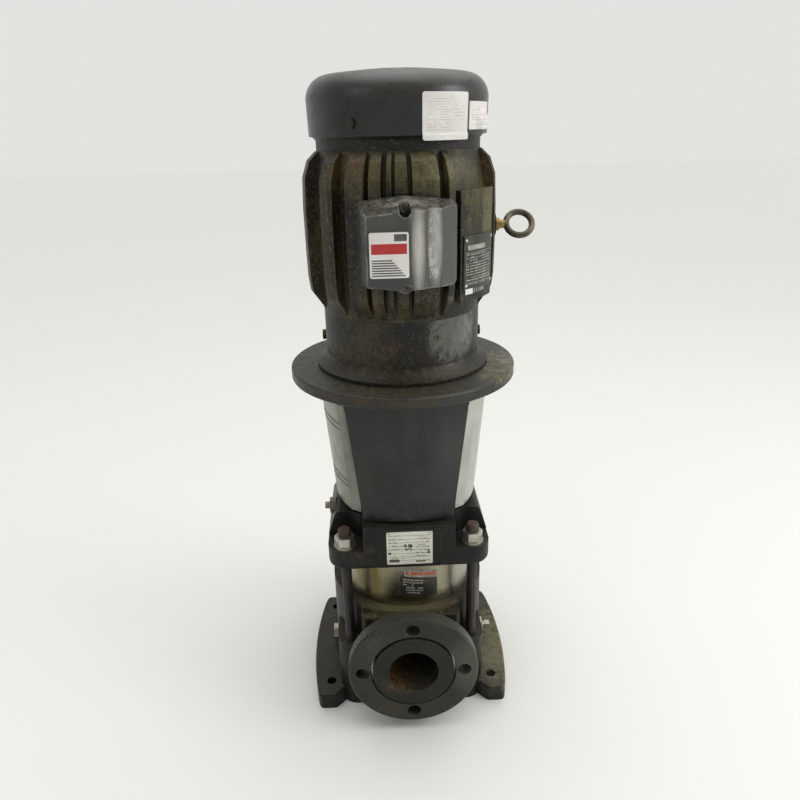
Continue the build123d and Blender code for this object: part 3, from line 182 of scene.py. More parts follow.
def makeFloor(scene, look):
    half = look["floorSize"] / 2
    corners = [(-half, -half, 0), (half, -half, 0), (half, half, 0), (-half, half, 0)]
    mesh = bpy.data.meshes.new("floor")
    mesh.from_pydata(corners, [], [(0, 1, 2, 3)])
    floor = bpy.data.objects.new("floor", mesh)
    scene.collection.objects.link(floor)
    material = bpy.data.materials.new("floorPaint")
    material.use_nodes = True
    shader = material.node_tree.nodes["Principled BSDF"]
    shader.inputs["Base Color"].default_value = colour(look["floorColour"])
    shader.inputs["Roughness"].default_value = look["floorRough"]
    shader.inputs["Specular IOR Level"].default_value = look["floorGloss"]
    mesh.materials.append(material)


def makeStudio(look):
    scene = bpy.context.scene
    scene.view_settings.view_transform = "Standard"
    makeSky(scene, look)
    makeLamps(scene, look)
    makeFloor(scene, look)


makeStudio(studio)
print("camera and studio made")

# weathered surfaces, with some painted shade and painted light among the looks' marks: one recipe
# for all, and each look says how much of each effect it has

weather = {
    # textures that follow the look's grain: scale in times that grain, detail, shift
    "broad": (0.3, 5.0, 0.0),
    "fine": (3.0, 6.0, 0.0),
    "scratch": (2.0, 8.0, 3.0),
    "pits": (9.0, 3.0, 0.0),
    # textures with a size of their own: scale, detail, stretch
    "stainClouds": (45.0, 6.0, (1, 1, 0.3)),
    "mottle": (120.0, 10.0, (1, 1, 0.7)),
    "grit": (620.0, 3.0, (1, 1, 1)),
    "streakDetail": 10.0,
    "fleckDetail": 2.0,
    "fleckShift": 1.7,
    "mottleShift": 9,               # moves the pattern for each patch, in times its height
    "pitShare": 0.35,
    # noise levels: where an effect begins and where it is full
    "broadLevels": (0.35, 0.65),
    "fineLevels": (0.3, 0.7),
    "dustLevels": (0.35, 0.62, 0.25, 1.0),
    "wearLevels": (0.42, 0.60),
    "stainLevels": (0.25, 0.60, 0.45, 1.0),
    "roughSpread": (-0.08, 0.1),    # how much smoother and rougher than the look's own value
    "bumpDepth": 0.0006,
    "soft": 0.0008,                 # radius that rounds plain edges
    "bevelSamples": 4,
    "edgeLean": (0.98, 0.80),       # from a flat face to a sharp edge
    "upward": (0.55, 0.95),         # slope where dust begins to lie, and where it covers
    "dustDulls": 0.35,
    "fade": (1.0, 0.25),            # where a stain begins and where it is full, in its own reach
    "gritShare": 0.45,
    "centreGain": 0.10,             # a patch's rim breaks up before its centre
    "rim": (0.0, 0.3),
    "cover": (0.64, 0.75, 0.20),    # noise levels of a patch's edge, and what full cover takes off
    "fleckEdge": 0.05,
    "coatRough": 0.25,
}


def rounded(tree, radius):
    made = addNode(tree, "Bevel", {"Radius": radius}, samples=weather["bevelSamples"])
    return made.outputs[0]


def wornEdges(tree, radius):
    # how far the rounded normal leans from the true one: strongest along sharp edges
    soft = rounded(tree, radius)
    true = tree.nodes.new("ShaderNodeNewGeometry").outputs["True Normal"]
    lean = addNode(tree, "VectorMath", {0: soft, 1: true}, operation="DOT_PRODUCT")
    return ramp(tree, lean.outputs["Value"], *weather["edgeLean"])


def facingUp(tree):
    normal = tree.nodes.new("ShaderNodeNewGeometry").outputs["Normal"]
    split = addNode(tree, "SeparateXYZ", {0: normal})
    return ramp(tree, split.outputs["Z"], *weather["upward"])


def near(tree, where, centre, reach):
    # 1 at the centre, fading to 0 at an ellipsoid's surface
    moved = addNode(tree, "VectorMath", {0: where, 1: centre}, operation="SUBTRACT").outputs[0]
    scaled = addNode(tree, "VectorMath", {0: moved, 1: reach}, operation="DIVIDE").outputs[0]
    length = addNode(tree, "VectorMath", {0: scaled}, operation="LENGTH").outputs["Value"]
    return ramp(tree, length, *weather["fade"])


def addStains(tree, where, paint, stains):
    # soft clouds of a tone: tone, centre, reach, strength
    for tone, centre, reach, strength in stains:
        clouds = noise(tree, where, *weather["stainClouds"], centre[0])
        cloudy = ramp(tree, clouds, *weather["stainLevels"])
        amount = times(tree, near(tree, where, centre, reach), cloudy)
        paint = blend(tree, times(tree, amount, strength), paint, colour(tone))
    return paint


def addPatches(tree, where, paint, patches):
    # broken, gritty patches: tone, centre, reach, strength, cover
    firm, faint, gain = weather["cover"]
    grain = weather["gritShare"]
    for tone, centre, reach, strength, cover in patches:
        spread = near(tree, where, centre, reach)
        mottle = noise(tree, where, *weather["mottle"], centre[2] * weather["mottleShift"])
        grit = noise(tree, where, *weather["grit"], centre[0])
        mixed = maths(tree, "ADD", times(tree, mottle, 1 - grain), times(tree, grit, grain))
        level = maths(tree, "ADD", mixed, times(tree, spread, weather["centreGain"]))
        speckled = ramp(tree, level, firm - cover * gain, faint - cover * gain)
        amount = times(tree, times(tree, ramp(tree, spread, *weather["rim"]), speckled), strength)
        paint = blend(tree, amount, paint, colour(tone))
    return paint


def addStreaks(tree, where, paint, streaks):
    # runs and mottling all over: tone, scale, stretch, noise levels from edge to inside, strength
    for tone, scale, stretch, low, high, strength in streaks:
        clouds = noise(tree, where, scale, weather["streakDetail"], stretch, shift=scale)
        run = ramp(tree, clouds, low, high)
        paint = blend(tree, times(tree, run, strength), paint, colour(tone))
    return paint


def finishMaterial(name, look):
    material = bpy.data.materials.new(name)
    material.use_nodes = True
    tree = material.node_tree
    shader = tree.nodes["Principled BSDF"]
    where = tree.nodes.new("ShaderNodeTexCoord").outputs["Object"]

    def texture(kind):
        scale, detail, shift = weather[kind]
        return noise(tree, where, look["grain"] * scale, detail, shift=shift)

    broad, fine = texture("broad"), texture("fine")
    cloudy = ramp(tree, broad, *weather["broadLevels"])
    paint = blend(tree, cloudy, colour(look["dark"]), colour(look["light"]))
    smoother, rougher = (look["rough"] + change for change in weather["roughSpread"])
    rough = ramp(tree, fine, *weather["fineLevels"], smoother, rougher)
    paint = addStains(tree, where, paint, look.get("stains", []))
    paint = addPatches(tree, where, paint, look.get("patches", []))
    paint = addStreaks(tree, where, paint, look.get("streaks", []))
    if "dust" in look:
        tone, strength = look["dust"]
        settled = times(tree, facingUp(tree), ramp(tree, fine, *weather["dustLevels"]))
        settled = times(tree, settled, strength)
        paint = blend(tree, settled, paint, colour(tone))
        rough = maths(tree, "ADD", rough, times(tree, settled, weather["dustDulls"]))
    if "wear" in look:
        tone, radius, strength = look["wear"]
        broken = ramp(tree, texture("scratch"), *weather["wearLevels"])
        worn = times(tree, times(tree, wornEdges(tree, radius), broken), strength)
        paint = blend(tree, worn, paint, colour(tone))
    if "flecks" in look:
        tone, scale, level, strength = look["flecks"]
        specks = noise(tree, where, scale, weather["fleckDetail"], shift=weather["fleckShift"])
        spots = ramp(tree, specks, level, level + weather["fleckEdge"])
        paint = blend(tree, times(tree, spots, strength), paint, colour(tone))
    tree.links.new(paint, shader.inputs["Base Color"])
    tree.links.new(rough, shader.inputs["Roughness"])
    shader.inputs["Metallic"].default_value = look.get("metal", 0.0)
    shader.inputs["Specular IOR Level"].default_value = look.get("gloss", 0.5)
    if "coat" in look:
        shader.inputs["Coat Weight"].default_value = look["coat"]
        shader.inputs["Coat Roughness"].default_value = weather["coatRough"]
    bump = addNode(tree, "Bump", {
        "Height": blend(tree, weather["pitShare"], fine, texture("pits")),
        "Strength": look["bump"],
        "Distance": weather["bumpDepth"],
        "Normal": rounded(tree, look.get("soft", weather["soft"])),
    })
    tree.links.new(bump.outputs[0], shader.inputs["Normal"])
    return material


def dress(nodeNames, material):
    for name in nodeNames:
        mesh = nodes[name].data
        mesh.materials.clear()
        mesh.materials.append(material)


# castings and painted steel

rust = (0.110, 0.054, 0.018)
brown = (0.056, 0.038, 0.016)
olive = (0.074, 0.066, 0.024)
khaki = (0.155, 0.135, 0.058)
# near black, used as painted shade: in a crevice, under parts, next to the floor and on the sides
# turned from the light
paintedShade = (0.004, 0.004, 0.003)
bareGrey = (0.125, 0.130, 0.120)

headLook = {
    "dark": (0.0060, 0.0060, 0.0048), "light": (0.0130, 0.0130, 0.0102),
    "rough": 0.44, "grain": 70, "bump": 0.30,
    "flecks": ((0.075, 0.070, 0.052), 420.0, 0.66, 0.55), "gloss": 0.22,
    "wear": ((0.13, 0.125, 0.10), 0.0014, 0.55), "dust": ((0.085, 0.078, 0.056), 0.24),
    "patches": [
        (rust, (-0.087, -0.087, 0.268), (0.024, 0.024, 0.007), 0.7, 0.55),
        (khaki, (0.087, -0.087, 0.268), (0.026, 0.026, 0.006), 0.6, 0.5),
        (brown, (-0.06, -0.10, 0.262), (0.04, 0.03, 0.02), 0.5, 0.4),
    ],
    "streaks": [((0.050, 0.047, 0.034), 30, (1, 1, 0.2), 0.58, 0.72, 0.45)],
}
stoolLook = {
    "dark": (0.0105, 0.0125, 0.012), "light": (0.0225, 0.026, 0.0245),
    "rough": 0.42, "grain": 45, "bump": 0.22,
    "flecks": ((0.075, 0.078, 0.066), 420.0, 0.67, 0.5), "gloss": 0.35,
    "wear": ((0.15, 0.14, 0.11), 0.0014, 0.5), "dust": ((0.085, 0.078, 0.055), 0.42),
    "patches": [
        (brown, (-0.02, -0.13, 0.500), (0.13, 0.06, 0.012), 0.8, 0.6),
        (khaki, (0.125, -0.05, 0.503), (0.05, 0.09, 0.012), 0.9, 0.6),
        ((0.21, 0.20, 0.16), (0.14, -0.02, 0.503), (0.03, 0.07, 0.012), 0.8, 0.4),
        # painted shade in the crevice between the stool wall's foot and the head's skirt
        (paintedShade, (0.0, -0.09, 0.30), (0.09, 0.05, 0.05), 0.7, 0.6),
    ],
    "stains": [
        ((0.046, 0.050, 0.044), (0.055, -0.125, 0.42), (0.040, 0.06, 0.11), 0.75),
        ((0.032, 0.026, 0.015), (-0.060, -0.110, 0.34), (0.022, 0.05, 0.10), 0.6),
    ],
    "streaks": [
        ((0.058, 0.062, 0.056), 22, (1, 1, 0.12), 0.58, 0.80, 0.40),
        ((0.045, 0.034, 0.020), 34, (1, 1, 0.10), 0.62, 0.76, 0.45),
    ],
}
baseLook = {
    "dark": (0.0060, 0.0058, 0.0034), "light": (0.0140, 0.0132, 0.0082),
    "rough": 0.44, "grain": 70, "bump": 0.38,
    "flecks": ((0.090, 0.084, 0.062), 420.0, 0.65, 0.6), "gloss": 0.24,
    "wear": ((0.12, 0.115, 0.085), 0.0016, 0.55), "dust": ((0.075, 0.070, 0.052), 0.42),
    "patches": [
        (rust, (-0.02, -0.12, 0.085), (0.036, 0.060, 0.030), 1.0, 0.75),
        (brown, (0.01, -0.10, 0.115), (0.040, 0.050, 0.030), 0.8, 0.6),
        (khaki, (0.135, -0.02, 0.030), (0.034, 0.12, 0.026), 0.9, 0.75),
        ((0.16, 0.155, 0.12), (0.125, -0.05, 0.022), (0.040, 0.07, 0.020), 0.7, 0.45),
        (khaki, (-0.02, -0.108, 0.160), (0.10, 0.03, 0.010), 0.8, 0.5),
        # painted shade along the foot of the front, next to the floor
        (paintedShade, (0.0, -0.09, 0.03), (0.14, 0.06, 0.04), 0.6, 0.6),
    ],
    "stains": [
        ((0.025, 0.021, 0.010), (0.0, -0.105, 0.158), (0.13, 0.05, 0.014), 0.8),
        ((0.115, 0.097, 0.044), (0.0, -0.100, 0.168), (0.135, 0.040, 0.013), 1.0),
        ((0.028, 0.024, 0.013), (-0.085, -0.09, 0.060), (0.030, 0.05, 0.050), 0.7),
        ((0.050, 0.047, 0.034), (0.125, -0.05, 0.022), (0.045, 0.10, 0.024), 0.8),
    ],
    "streaks": [
        ((0.060, 0.052, 0.034), 26, (1, 1, 0.22), 0.56, 0.74, 0.50),
        ((0.110, 0.104, 0.080), 60, (1, 1, 0.6), 0.66, 0.76, 0.35),
    ],
}
flangeLook = {
    "dark": (0.0095, 0.0095, 0.0060), "light": (0.0195, 0.0195, 0.0128),
    "rough": 0.46, "grain": 80, "bump": 0.35,
    "flecks": ((0.085, 0.083, 0.068), 420.0, 0.65, 0.6), "gloss": 0.35,
    "wear": ((0.125, 0.125, 0.105), 0.0017, 0.7), "dust": ((0.085, 0.08, 0.06), 0.35),
    "streaks": [
        ((0.052, 0.050, 0.036), 40, (1, 1, 1), 0.56, 0.74, 0.50),
        ((0.090, 0.088, 0.068), 90, (1, 1, 1), 0.64, 0.76, 0.40),
        ((0.075, 0.068, 0.040), 260, (1, 1, 1), 0.60, 0.72, 0.40),
    ],
    "stains": [
        ((0.088, 0.085, 0.068), (0.078, -0.155, 0.115), (0.036, 0.05, 0.060), 0.85),
        ((0.030, 0.026, 0.014), (-0.035, -0.155, 0.035), (0.050, 0.05, 0.035), 0.8),
        ((0.040, 0.040, 0.031), (-0.050, -0.155, 0.150), (0.040, 0.05, 0.030), 0.6),
    ],
}
frameLook = {
    "dark": (0.0055, 0.0050, 0.0035), "light": (0.017, 0.0150, 0.0085),
    "rough": 0.47, "grain": 60, "bump": 0.40,
    "flecks": ((0.120, 0.102, 0.048), 380.0, 0.61, 0.7), "gloss": 0.35,
    "wear": ((0.075, 0.066, 0.040), 0.0014, 0.55), "dust": ((0.050, 0.040, 0.020), 0.35),
    "patches": [
        (olive, (0.00, -0.10, 0.750), (0.11, 0.06, 0.035), 0.9, 0.75),
        (khaki, (0.045, -0.10, 0.752), (0.05, 0.05, 0.022), 0.8, 0.45),
        (brown, (-0.045, -0.10, 0.745), (0.05, 0.05, 0.035), 0.9, 0.75),
        (rust, (-0.055, -0.09, 0.757), (0.035, 0.04, 0.014), 0.7, 0.5),
        (olive, (0.09, -0.07, 0.715), (0.04, 0.05, 0.06), 0.9, 0.75),
        (rust, (0.108, -0.045, 0.735), (0.020, 0.04, 0.050), 0.8, 0.5),
        (khaki, (0.10, -0.06, 0.690), (0.03, 0.05, 0.05), 0.7, 0.4),
        (brown, (-0.10, -0.05, 0.66), (0.04, 0.06, 0.08), 0.8, 0.5),
        (brown, (0.00, -0.10, 0.600), (0.10, 0.05, 0.022), 0.8, 0.6),
        (olive, (-0.03, -0.11, 0.610), (0.05, 0.04, 0.02), 0.7, 0.5),
        (bareGrey, (0.06, -0.10, 0.605), (0.035, 0.04, 0.018), 0.6, 0.45),
        # painted shade on the left of the front, turned from the light
        (paintedShade, (-0.06, -0.09, 0.68), (0.05, 0.05, 0.06), 0.8, 0.7),
    ],
    "streaks": [
        (olive, 34, (1, 1, 0.14), 0.54, 0.72, 0.65),
        (brown, 48, (1, 1, 0.20), 0.58, 0.72, 0.60),
        (khaki, 95, (1, 1, 0.45), 0.64, 0.74, 0.45),
        (khaki, 300, (1, 1, 0.7), 0.56, 0.68, 0.50),
        (paintedShade, 42, (1, 1, 0.10), 0.50, 0.62, 0.75),
    ],
    "stains": [
        ((0.105, 0.086, 0.022), (0.060, -0.10, 0.748), (0.07, 0.06, 0.035), 0.60),
        ((0.090, 0.072, 0.024), (-0.020, -0.12, 0.752), (0.10, 0.06, 0.020), 0.6),
        ((0.075, 0.064, 0.026), (0.105, -0.06, 0.690), (0.04, 0.06, 0.09), 0.5),
        # painted shade: on the left of the front, under the conduit box and on the left side
        (paintedShade, (-0.060, -0.10, 0.690), (0.080, 0.05, 0.060), 0.75),
        (paintedShade, (0.020, -0.115, 0.640), (0.060, 0.05, 0.030), 0.6),
        (paintedShade, (-0.115, 0.00, 0.68), (0.06, 0.12, 0.09), 0.6),
    ],
}
bellLook = {
    "dark": (0.0042, 0.0040, 0.0028), "light": (0.0110, 0.0102, 0.0070),
    "rough": 0.47, "grain": 60, "bump": 0.38,
    "flecks": ((0.120, 0.105, 0.062), 460.0, 0.63, 0.65), "gloss": 0.35,
    "wear": ((0.085, 0.08, 0.055), 0.0014, 0.45), "dust": ((0.070, 0.058, 0.034), 0.30),
    "patches": [
        (bareGrey, (0.060, -0.080, 0.560), (0.040, 0.05, 0.045), 1.0, 0.85),
        ((0.20, 0.205, 0.19), (0.078, -0.062, 0.565), (0.014, 0.03, 0.040), 0.8, 0.5),
        (olive, (-0.045, -0.09, 0.562), (0.05, 0.05, 0.035), 0.5, 0.45),
        (rust, (-0.02, -0.10, 0.545), (0.035, 0.04, 0.020), 0.6, 0.35),
        (brown, (-0.06, -0.08, 0.530), (0.07, 0.06, 0.022), 0.9, 0.6),
        (brown, (0.03, -0.10, 0.515), (0.09, 0.05, 0.010), 0.8, 0.6),
    ],
    "streaks": [
        (brown, 40, (1, 1, 0.25), 0.56, 0.74, 0.55),
        (khaki, 110, (1, 1, 0.6), 0.64, 0.74, 0.45),
        (khaki, 300, (1, 1, 0.8), 0.60, 0.70, 0.45),
    ],
    "stains": [
        ((0.110, 0.114, 0.105), (0.068, -0.075, 0.562), (0.036, 0.05, 0.042), 0.75),
        # painted shade: on the bell's left side, turned from the light, and on its front below the
        # frame
        (paintedShade, (-0.090, -0.07, 0.560), (0.060, 0.07, 0.060), 0.85),
        (paintedShade, (0.005, -0.115, 0.550), (0.035, 0.04, 0.030), 0.6),
    ],
}
fanCoverLook = {
    "dark": (0.0105, 0.0108, 0.0094), "light": (0.020, 0.0205, 0.0180),
    "rough": 0.30, "grain": 40, "bump": 0.12,
    "flecks": ((0.075, 0.070, 0.052), 420.0, 0.68, 0.4), "gloss": 0.5,
    # the pale dust on upward faces is partly dust and partly painted light on the lit top of the
    # cover
    "wear": ((0.10, 0.095, 0.075), 0.0012, 0.45), "dust": ((0.200, 0.188, 0.160), 0.62),
    # painted shade on the front left of the cover
    "patches": [(paintedShade, (-0.055, -0.09, 0.80), (0.03, 0.03, 0.03), 0.7, 0.7)],
    "stains": [
        # a narrow lighter strip down the cover's left edge is a painted highlight
        ((0.040, 0.039, 0.033), (-0.085, -0.065, 0.815), (0.012, 0.04, 0.050), 0.35),
        ((0.040, 0.036, 0.026), (0.000, -0.105, 0.835), (0.090, 0.03, 0.014), 0.6),
    ],
    "streaks": [
        ((0.047, 0.042, 0.030), 20, (1, 1, 0.3), 0.58, 0.80, 0.40),
        ((0.100, 0.094, 0.075), 120, (1, 1, 0.8), 0.68, 0.76, 0.30),
    ],
}
boxLook = {
    "dark": (0.0060, 0.0060, 0.0048), "light": (0.0125, 0.0125, 0.0100),
    "rough": 0.20, "grain": 55, "bump": 0.10,
    "soft": 0.0045,
    "wear": ((0.46, 0.45, 0.40), 0.0030, 0.9), "dust": ((0.13, 0.125, 0.108), 0.45), "coat": 0.75,
    "patches": [
        ((0.47, 0.46, 0.42), (0.0125, -0.187, 0.675), (0.0075, 0.014, 0.060), 1.0, 0.62),
        ((0.47, 0.46, 0.42), (0.0300, -0.172, 0.680), (0.0085, 0.014, 0.062), 1.0, 0.62),
        ((0.35, 0.34, 0.30), (0.0000, -0.150, 0.724), (0.060, 0.040, 0.010), 0.9, 0.45),
        ((0.16, 0.16, 0.14), (-0.0500, -0.165, 0.680), (0.012, 0.022, 0.050), 0.6, 0.25),
    ],
    "streaks": [((0.11, 0.105, 0.085), 60, (1, 1, 0.3), 0.62, 0.76, 0.45)],
    "stains": [
        ((0.66, 0.65, 0.60), (0.0125, -0.184, 0.680), (0.0085, 0.022, 0.070), 1.0),
        ((0.66, 0.65, 0.60), (0.0310, -0.173, 0.684), (0.0095, 0.022, 0.070), 1.0),
        ((0.060, 0.060, 0.050), (-0.020, -0.186, 0.712), (0.050, 0.02, 0.022), 0.7),
    ],
}

dress(["pump_head"], finishMaterial("headPaint", headLook))
dress(["motor_stool"], finishMaterial("stoolPaint", stoolLook))
dress(["pump_base"], finishMaterial("basePaint", baseLook))
dress(["suction_flange_ring", "discharge_flange_ring"], finishMaterial("flangePaint", flangeLook))
dress(["motor_frame"], finishMaterial("framePaint", frameLook))
dress(["drive_end_bell", "fan_end_bell"], finishMaterial("bellPaint", bellLook))
dress(["fan_cover"], finishMaterial("coverPaint", fanCoverLook))
dress(["conduit_box", "conduit_cover"], finishMaterial("boxPaint", boxLook))
print("castings painted")

# bare metal, plates and the hidden pieces

sleeveLook = {
    "dark": (0.36, 0.355, 0.31), "light": (0.50, 0.495, 0.44),
    "rough": 0.36, "grain": 30, "bump": 0.05,
    "metal": 1.0,
    "stains": [
        ((0.350, 0.325, 0.215), (0.000, -0.098, 0.210), (0.130, 0.060, 0.085), 0.8),
        ((0.130, 0.098, 0.030), (-0.056, -0.080, 0.205), (0.052, 0.055, 0.085), 1.0),
        ((0.105, 0.078, 0.036), (0.000, -0.098, 0.179), (0.110, 0.040, 0.010), 1.0),
        ((0.170, 0.145, 0.085), (0.000, -0.098, 0.243), (0.110, 0.040, 0.012), 0.7),
        ((0.240, 0.215, 0.135), (0.072, -0.075, 0.200), (0.025, 0.040, 0.050), 0.25),
    ],
    "streaks": [((0.22, 0.175, 0.085), 34, (1, 1, 0.07), 0.42, 0.78, 0.55)],
}
guardLook = {
    "dark": (0.34, 0.34, 0.31), "light": (0.50, 0.50, 0.46),
    "rough": 0.33, "grain": 25, "bump": 0.06,
    "metal": 1.0,
    "streaks": [((0.20, 0.175, 0.12), 20, (1, 1, 0.3), 0.60, 0.80, 0.4)],
}
steelLook = {
    "dark": (0.26, 0.26, 0.25), "light": (0.42, 0.42, 0.40),
    "rough": 0.33, "grain": 60, "bump": 0.08,
    "metal": 1.0, "streaks": [((0.20, 0.14, 0.08), 60, (1, 1, 1), 0.60, 0.75, 0.4)],
}
zincLook = {
    "dark": (0.27, 0.26, 0.21), "light": (0.50, 0.49, 0.43),
    "rough": 0.38, "grain": 90, "bump": 0.15,
    "metal": 0.85, "streaks": [((0.22, 0.17, 0.07), 90, (1, 1, 1), 0.55, 0.70, 0.6)],
    "wear": ((0.66, 0.66, 0.62), 0.0010, 0.6),
}
stayLook = {
    "dark": (0.010, 0.009, 0.008), "light": (0.034, 0.026, 0.019),
    "rough": 0.50, "grain": 120, "bump": 0.35,
    "metal": 0.2,
    "patches": [
        ((0.080, 0.045, 0.025), (x, y, 0.289), (0.020, 0.020, 0.010), 1.0, 0.8)
        for x in (-0.0875, 0.0875) for y in (-0.0875, 0.0875)
    ],
    "streaks": [((0.070, 0.058, 0.040), 120, (1, 1, 1), 0.60, 0.74, 0.4)],
}
capScrewLook = {
    "dark": (0.010, 0.009, 0.008), "light": (0.030, 0.024, 0.018),
    "rough": 0.42, "grain": 140, "bump": 0.3,
    "metal": 0.4, "streaks": [((0.080, 0.055, 0.030), 120, (1, 1, 1), 0.60, 0.74, 0.5)],
    "wear": ((0.17, 0.16, 0.125), 0.0009, 0.8),
}
rustyLook = {
    "dark": (0.035, 0.022, 0.013), "light": (0.090, 0.050, 0.026),
    "rough": 0.58, "grain": 120, "bump": 0.4,
    "metal": 0.3, "streaks": [((0.16, 0.13, 0.09), 120, (1, 1, 1), 0.60, 0.74, 0.5)],
}
conduitScrewLook = {
    "dark": (0.050, 0.045, 0.034), "light": (0.14, 0.125, 0.095),
    "rough": 0.40, "grain": 140, "bump": 0.3,
    "metal": 0.5, "wear": ((0.34, 0.32, 0.27), 0.0008, 0.7),
}
eyeLook = {
    "dark": (0.060, 0.053, 0.038), "light": (0.150, 0.130, 0.088),
    "rough": 0.40, "grain": 110, "bump": 0.30,
    "metal": 0.6,
    "patches": [((0.33, 0.22, 0.060), (0.124, 0.0, 0.678), (0.012, 0.012, 0.012), 1.0, 0.95)],
    "streaks": [((0.045, 0.034, 0.020), 80, (1, 1, 1), 0.56, 0.70, 0.6)],
    "wear": ((0.34, 0.32, 0.25), 0.0012, 0.5),
}
ventLook = {
    "dark": (0.15, 0.135, 0.105), "light": (0.27, 0.25, 0.20),
    "rough": 0.42, "grain": 110, "bump": 0.20,
    "metal": 0.6, "streaks": [((0.10, 0.075, 0.045), 80, (1, 1, 1), 0.56, 0.70, 0.5)],
}
plateLook = {
    "dark": (0.50, 0.50, 0.435), "light": (0.69, 0.69, 0.615),
    "rough": 0.36, "grain": 50, "bump": 0.05,
    "metal": 0.6, "streaks": [((0.22, 0.20, 0.15), 60, (1, 1, 1), 0.58, 0.78, 0.45)],
    "wear": ((0.05, 0.05, 0.04), 0.0012, 0.6),
}
darkPlateLook = {
    "dark": (0.017, 0.017, 0.014), "light": (0.036, 0.036, 0.030),
    "rough": 0.38, "grain": 80, "bump": 0.08,
    "wear": ((0.38, 0.38, 0.33), 0.0008, 0.8),
    "streaks": [((0.085, 0.080, 0.060), 70, (1, 1, 1), 0.56, 0.72, 0.55)],
}
rubberLook = {
    "dark": (0.012, 0.012, 0.012), "light": (0.022, 0.022, 0.022),
    "rough": 0.75, "grain": 90, "bump": 0.2,
}
coreLook = {
    "dark": (0.10, 0.10, 0.10), "light": (0.18, 0.18, 0.18),
    "rough": 0.45, "grain": 60, "bump": 0.2,
    "metal": 0.8, "streaks": [((0.06, 0.05, 0.045), 200, (0.1, 0.1, 1), 0.5, 0.6, 0.6)],
}
windingLook = {
    "dark": (0.14, 0.05, 0.015), "light": (0.30, 0.12, 0.035),
    "rough": 0.35, "grain": 140, "bump": 0.6,
}
fanLook = {
    "dark": (0.015, 0.015, 0.016), "light": (0.030, 0.030, 0.031),
    "rough": 0.55, "grain": 70, "bump": 0.1,
    "dust": ((0.10, 0.08, 0.05), 0.6),
}

# a darker copy of the guard steel: painted shade on the left guard, which is turned from the light
shadedLeftGuardLook = {
    **guardLook, "dark": (0.14, 0.14, 0.122), "light": (0.24, 0.24, 0.212),
    "stains": [((0.050, 0.038, 0.022), (-0.074, -0.110, 0.40), (0.014, 0.020, 0.17), 1.0)],
}
guardSteel = finishMaterial("guardSteel", guardLook)
shadedLeftGuardSteel = finishMaterial("shadedLeftGuardSteel", shadedLeftGuardLook)
dress(["outer_sleeve"], finishMaterial("sleeveSteel", sleeveLook))
dress(["guard_right"], guardSteel)
dress(["guard_left"], shadedLeftGuardSteel)
dress([
    "retaining_rings", "pump_shaft", "motor_shaft", "shaft_spacers",
    "seal_rotor", "seal_carrier", "seal_screws",
    "coupling_front", "coupling_rear", "coupling_screws", "coupling_pin",
    "stool_screws", "motor_bolts",
    "inlet_guide", "first_chamber", "second_chamber", "outlet_guide",
    "first_impeller", "second_impeller",
    "bearing_inner_races", "bearing_outer_races", "bearing_balls",
], finishMaterial("machinedSteel", steelLook))
zincPlate = finishMaterial("zincPlate", zincLook)
dress(["stay_washers", "stay_nuts", "drain_plug", "gauge_plug"], zincPlate)
stayPaint = finishMaterial("stayPaint", stayLook)
dress(["stay_bolts"], stayPaint)
dress(["fan_cover_screws"], finishMaterial("darkScrew", capScrewLook))
dress(["motor_drain_plugs"], finishMaterial("rustySteel", rustyLook))
dress(["conduit_screws"], finishMaterial("conduitScrew", conduitScrewLook))
dress(["eyebolt"], finishMaterial("eyeBronze", eyeLook))
dress(["vent_plug"], finishMaterial("dullNickel", ventLook))
dress(["pump_nameplate", "plate_rivets"], finishMaterial("silverPlate", plateLook))
dress(["motor_nameplate"], finishMaterial("darkPlate", darkPlateLook))
dress(["lower_o_ring", "upper_o_ring", "conduit_gasket"], finishMaterial("blackRubber", rubberLook))
dress(["neck_rings", "bearing_bush", "seal_seat"], finishMaterial("carbon", rubberLook))
dress(["stator_core", "motor_rotor"], finishMaterial("coreSteel", coreLook))
dress(["stator_windings"], finishMaterial("varnishedWire", windingLook))
dress(["cooling_fan"], finishMaterial("fanPlastic", fanLook))
print("bare metal done")

# thin pieces stuck on the surfaces: labels, plate print and stickers

sheetShape = {
    "rayStart": 0.03,         # how far outside a round surface a ray towards the shaft starts
    "rayLength": 0.045,
    "bendTurn": 15,           # degrees from one row to the next round a corner
    "bendRows": 7,
    "rows": 18,               # of a sheet with rounded corners, from bottom to top
    # how a loose sheet waves, in radians over its width and over its height
    "ripples": ((9, 4), (-3, 7)),
}


def surfaceOf(name):
    mesh = nodes[name].data
    faces = [list(face.vertices) for face in mesh.polygons]
    return BVHTree.FromPolygons([vertex.co for vertex in mesh.vertices], faces)


def outwardAt(angle):
    turn = math.radians(angle)
    return Vector((math.cos(turn), math.sin(turn), 0))


def roundSeat(name, radius):
    # place(angle in degrees, height) on the outside of a piece that stands round the shaft
    surface = surfaceOf(name)

    def place(angle, height):
        outward = outwardAt(angle)
        start = outward * (radius + sheetShape["rayStart"]) + Vector((0, 0, height))
        spot = surface.ray_cast(start, -outward, sheetShape["rayLength"])[0]
        return (spot if spot else outward * radius + Vector((0, 0, height))), outward
    return place


def flatSeat(distance):
    # place(x, height) on an upright face that looks to the front
    def place(x, height):
        return Vector((x, -distance, height)), Vector((0, -1, 0))
    return place


def rowHeights(height, rounding, step):
    # shares of the height at which a sheet has a row of points, close together round its corners
    if rounding:
        turns = [math.radians(sheetShape["bendTurn"] * k) for k in range(sheetShape["bendRows"])]
        bends = [rounding / height * (1 - math.cos(turn)) for turn in turns]
        rows = [k / sheetShape["rows"] for k in range(1, sheetShape["rows"])]
        middle = [row for row in rows if bends[-1] < row < 1 - bends[-1]]
        return bends + middle + [1 - bend for bend in reversed(bends)]
    if height > 2 * step:
        count = math.ceil(height / (2 * step))
        return [k / count for k in range(count + 1)]
    return [0.0, 1.0]


def rippleAt(across, high):
    first, second = (wide * across + tall * high for wide, tall in sheetShape["ripples"])
    return 1 + math.sin(first) * math.cos(second)


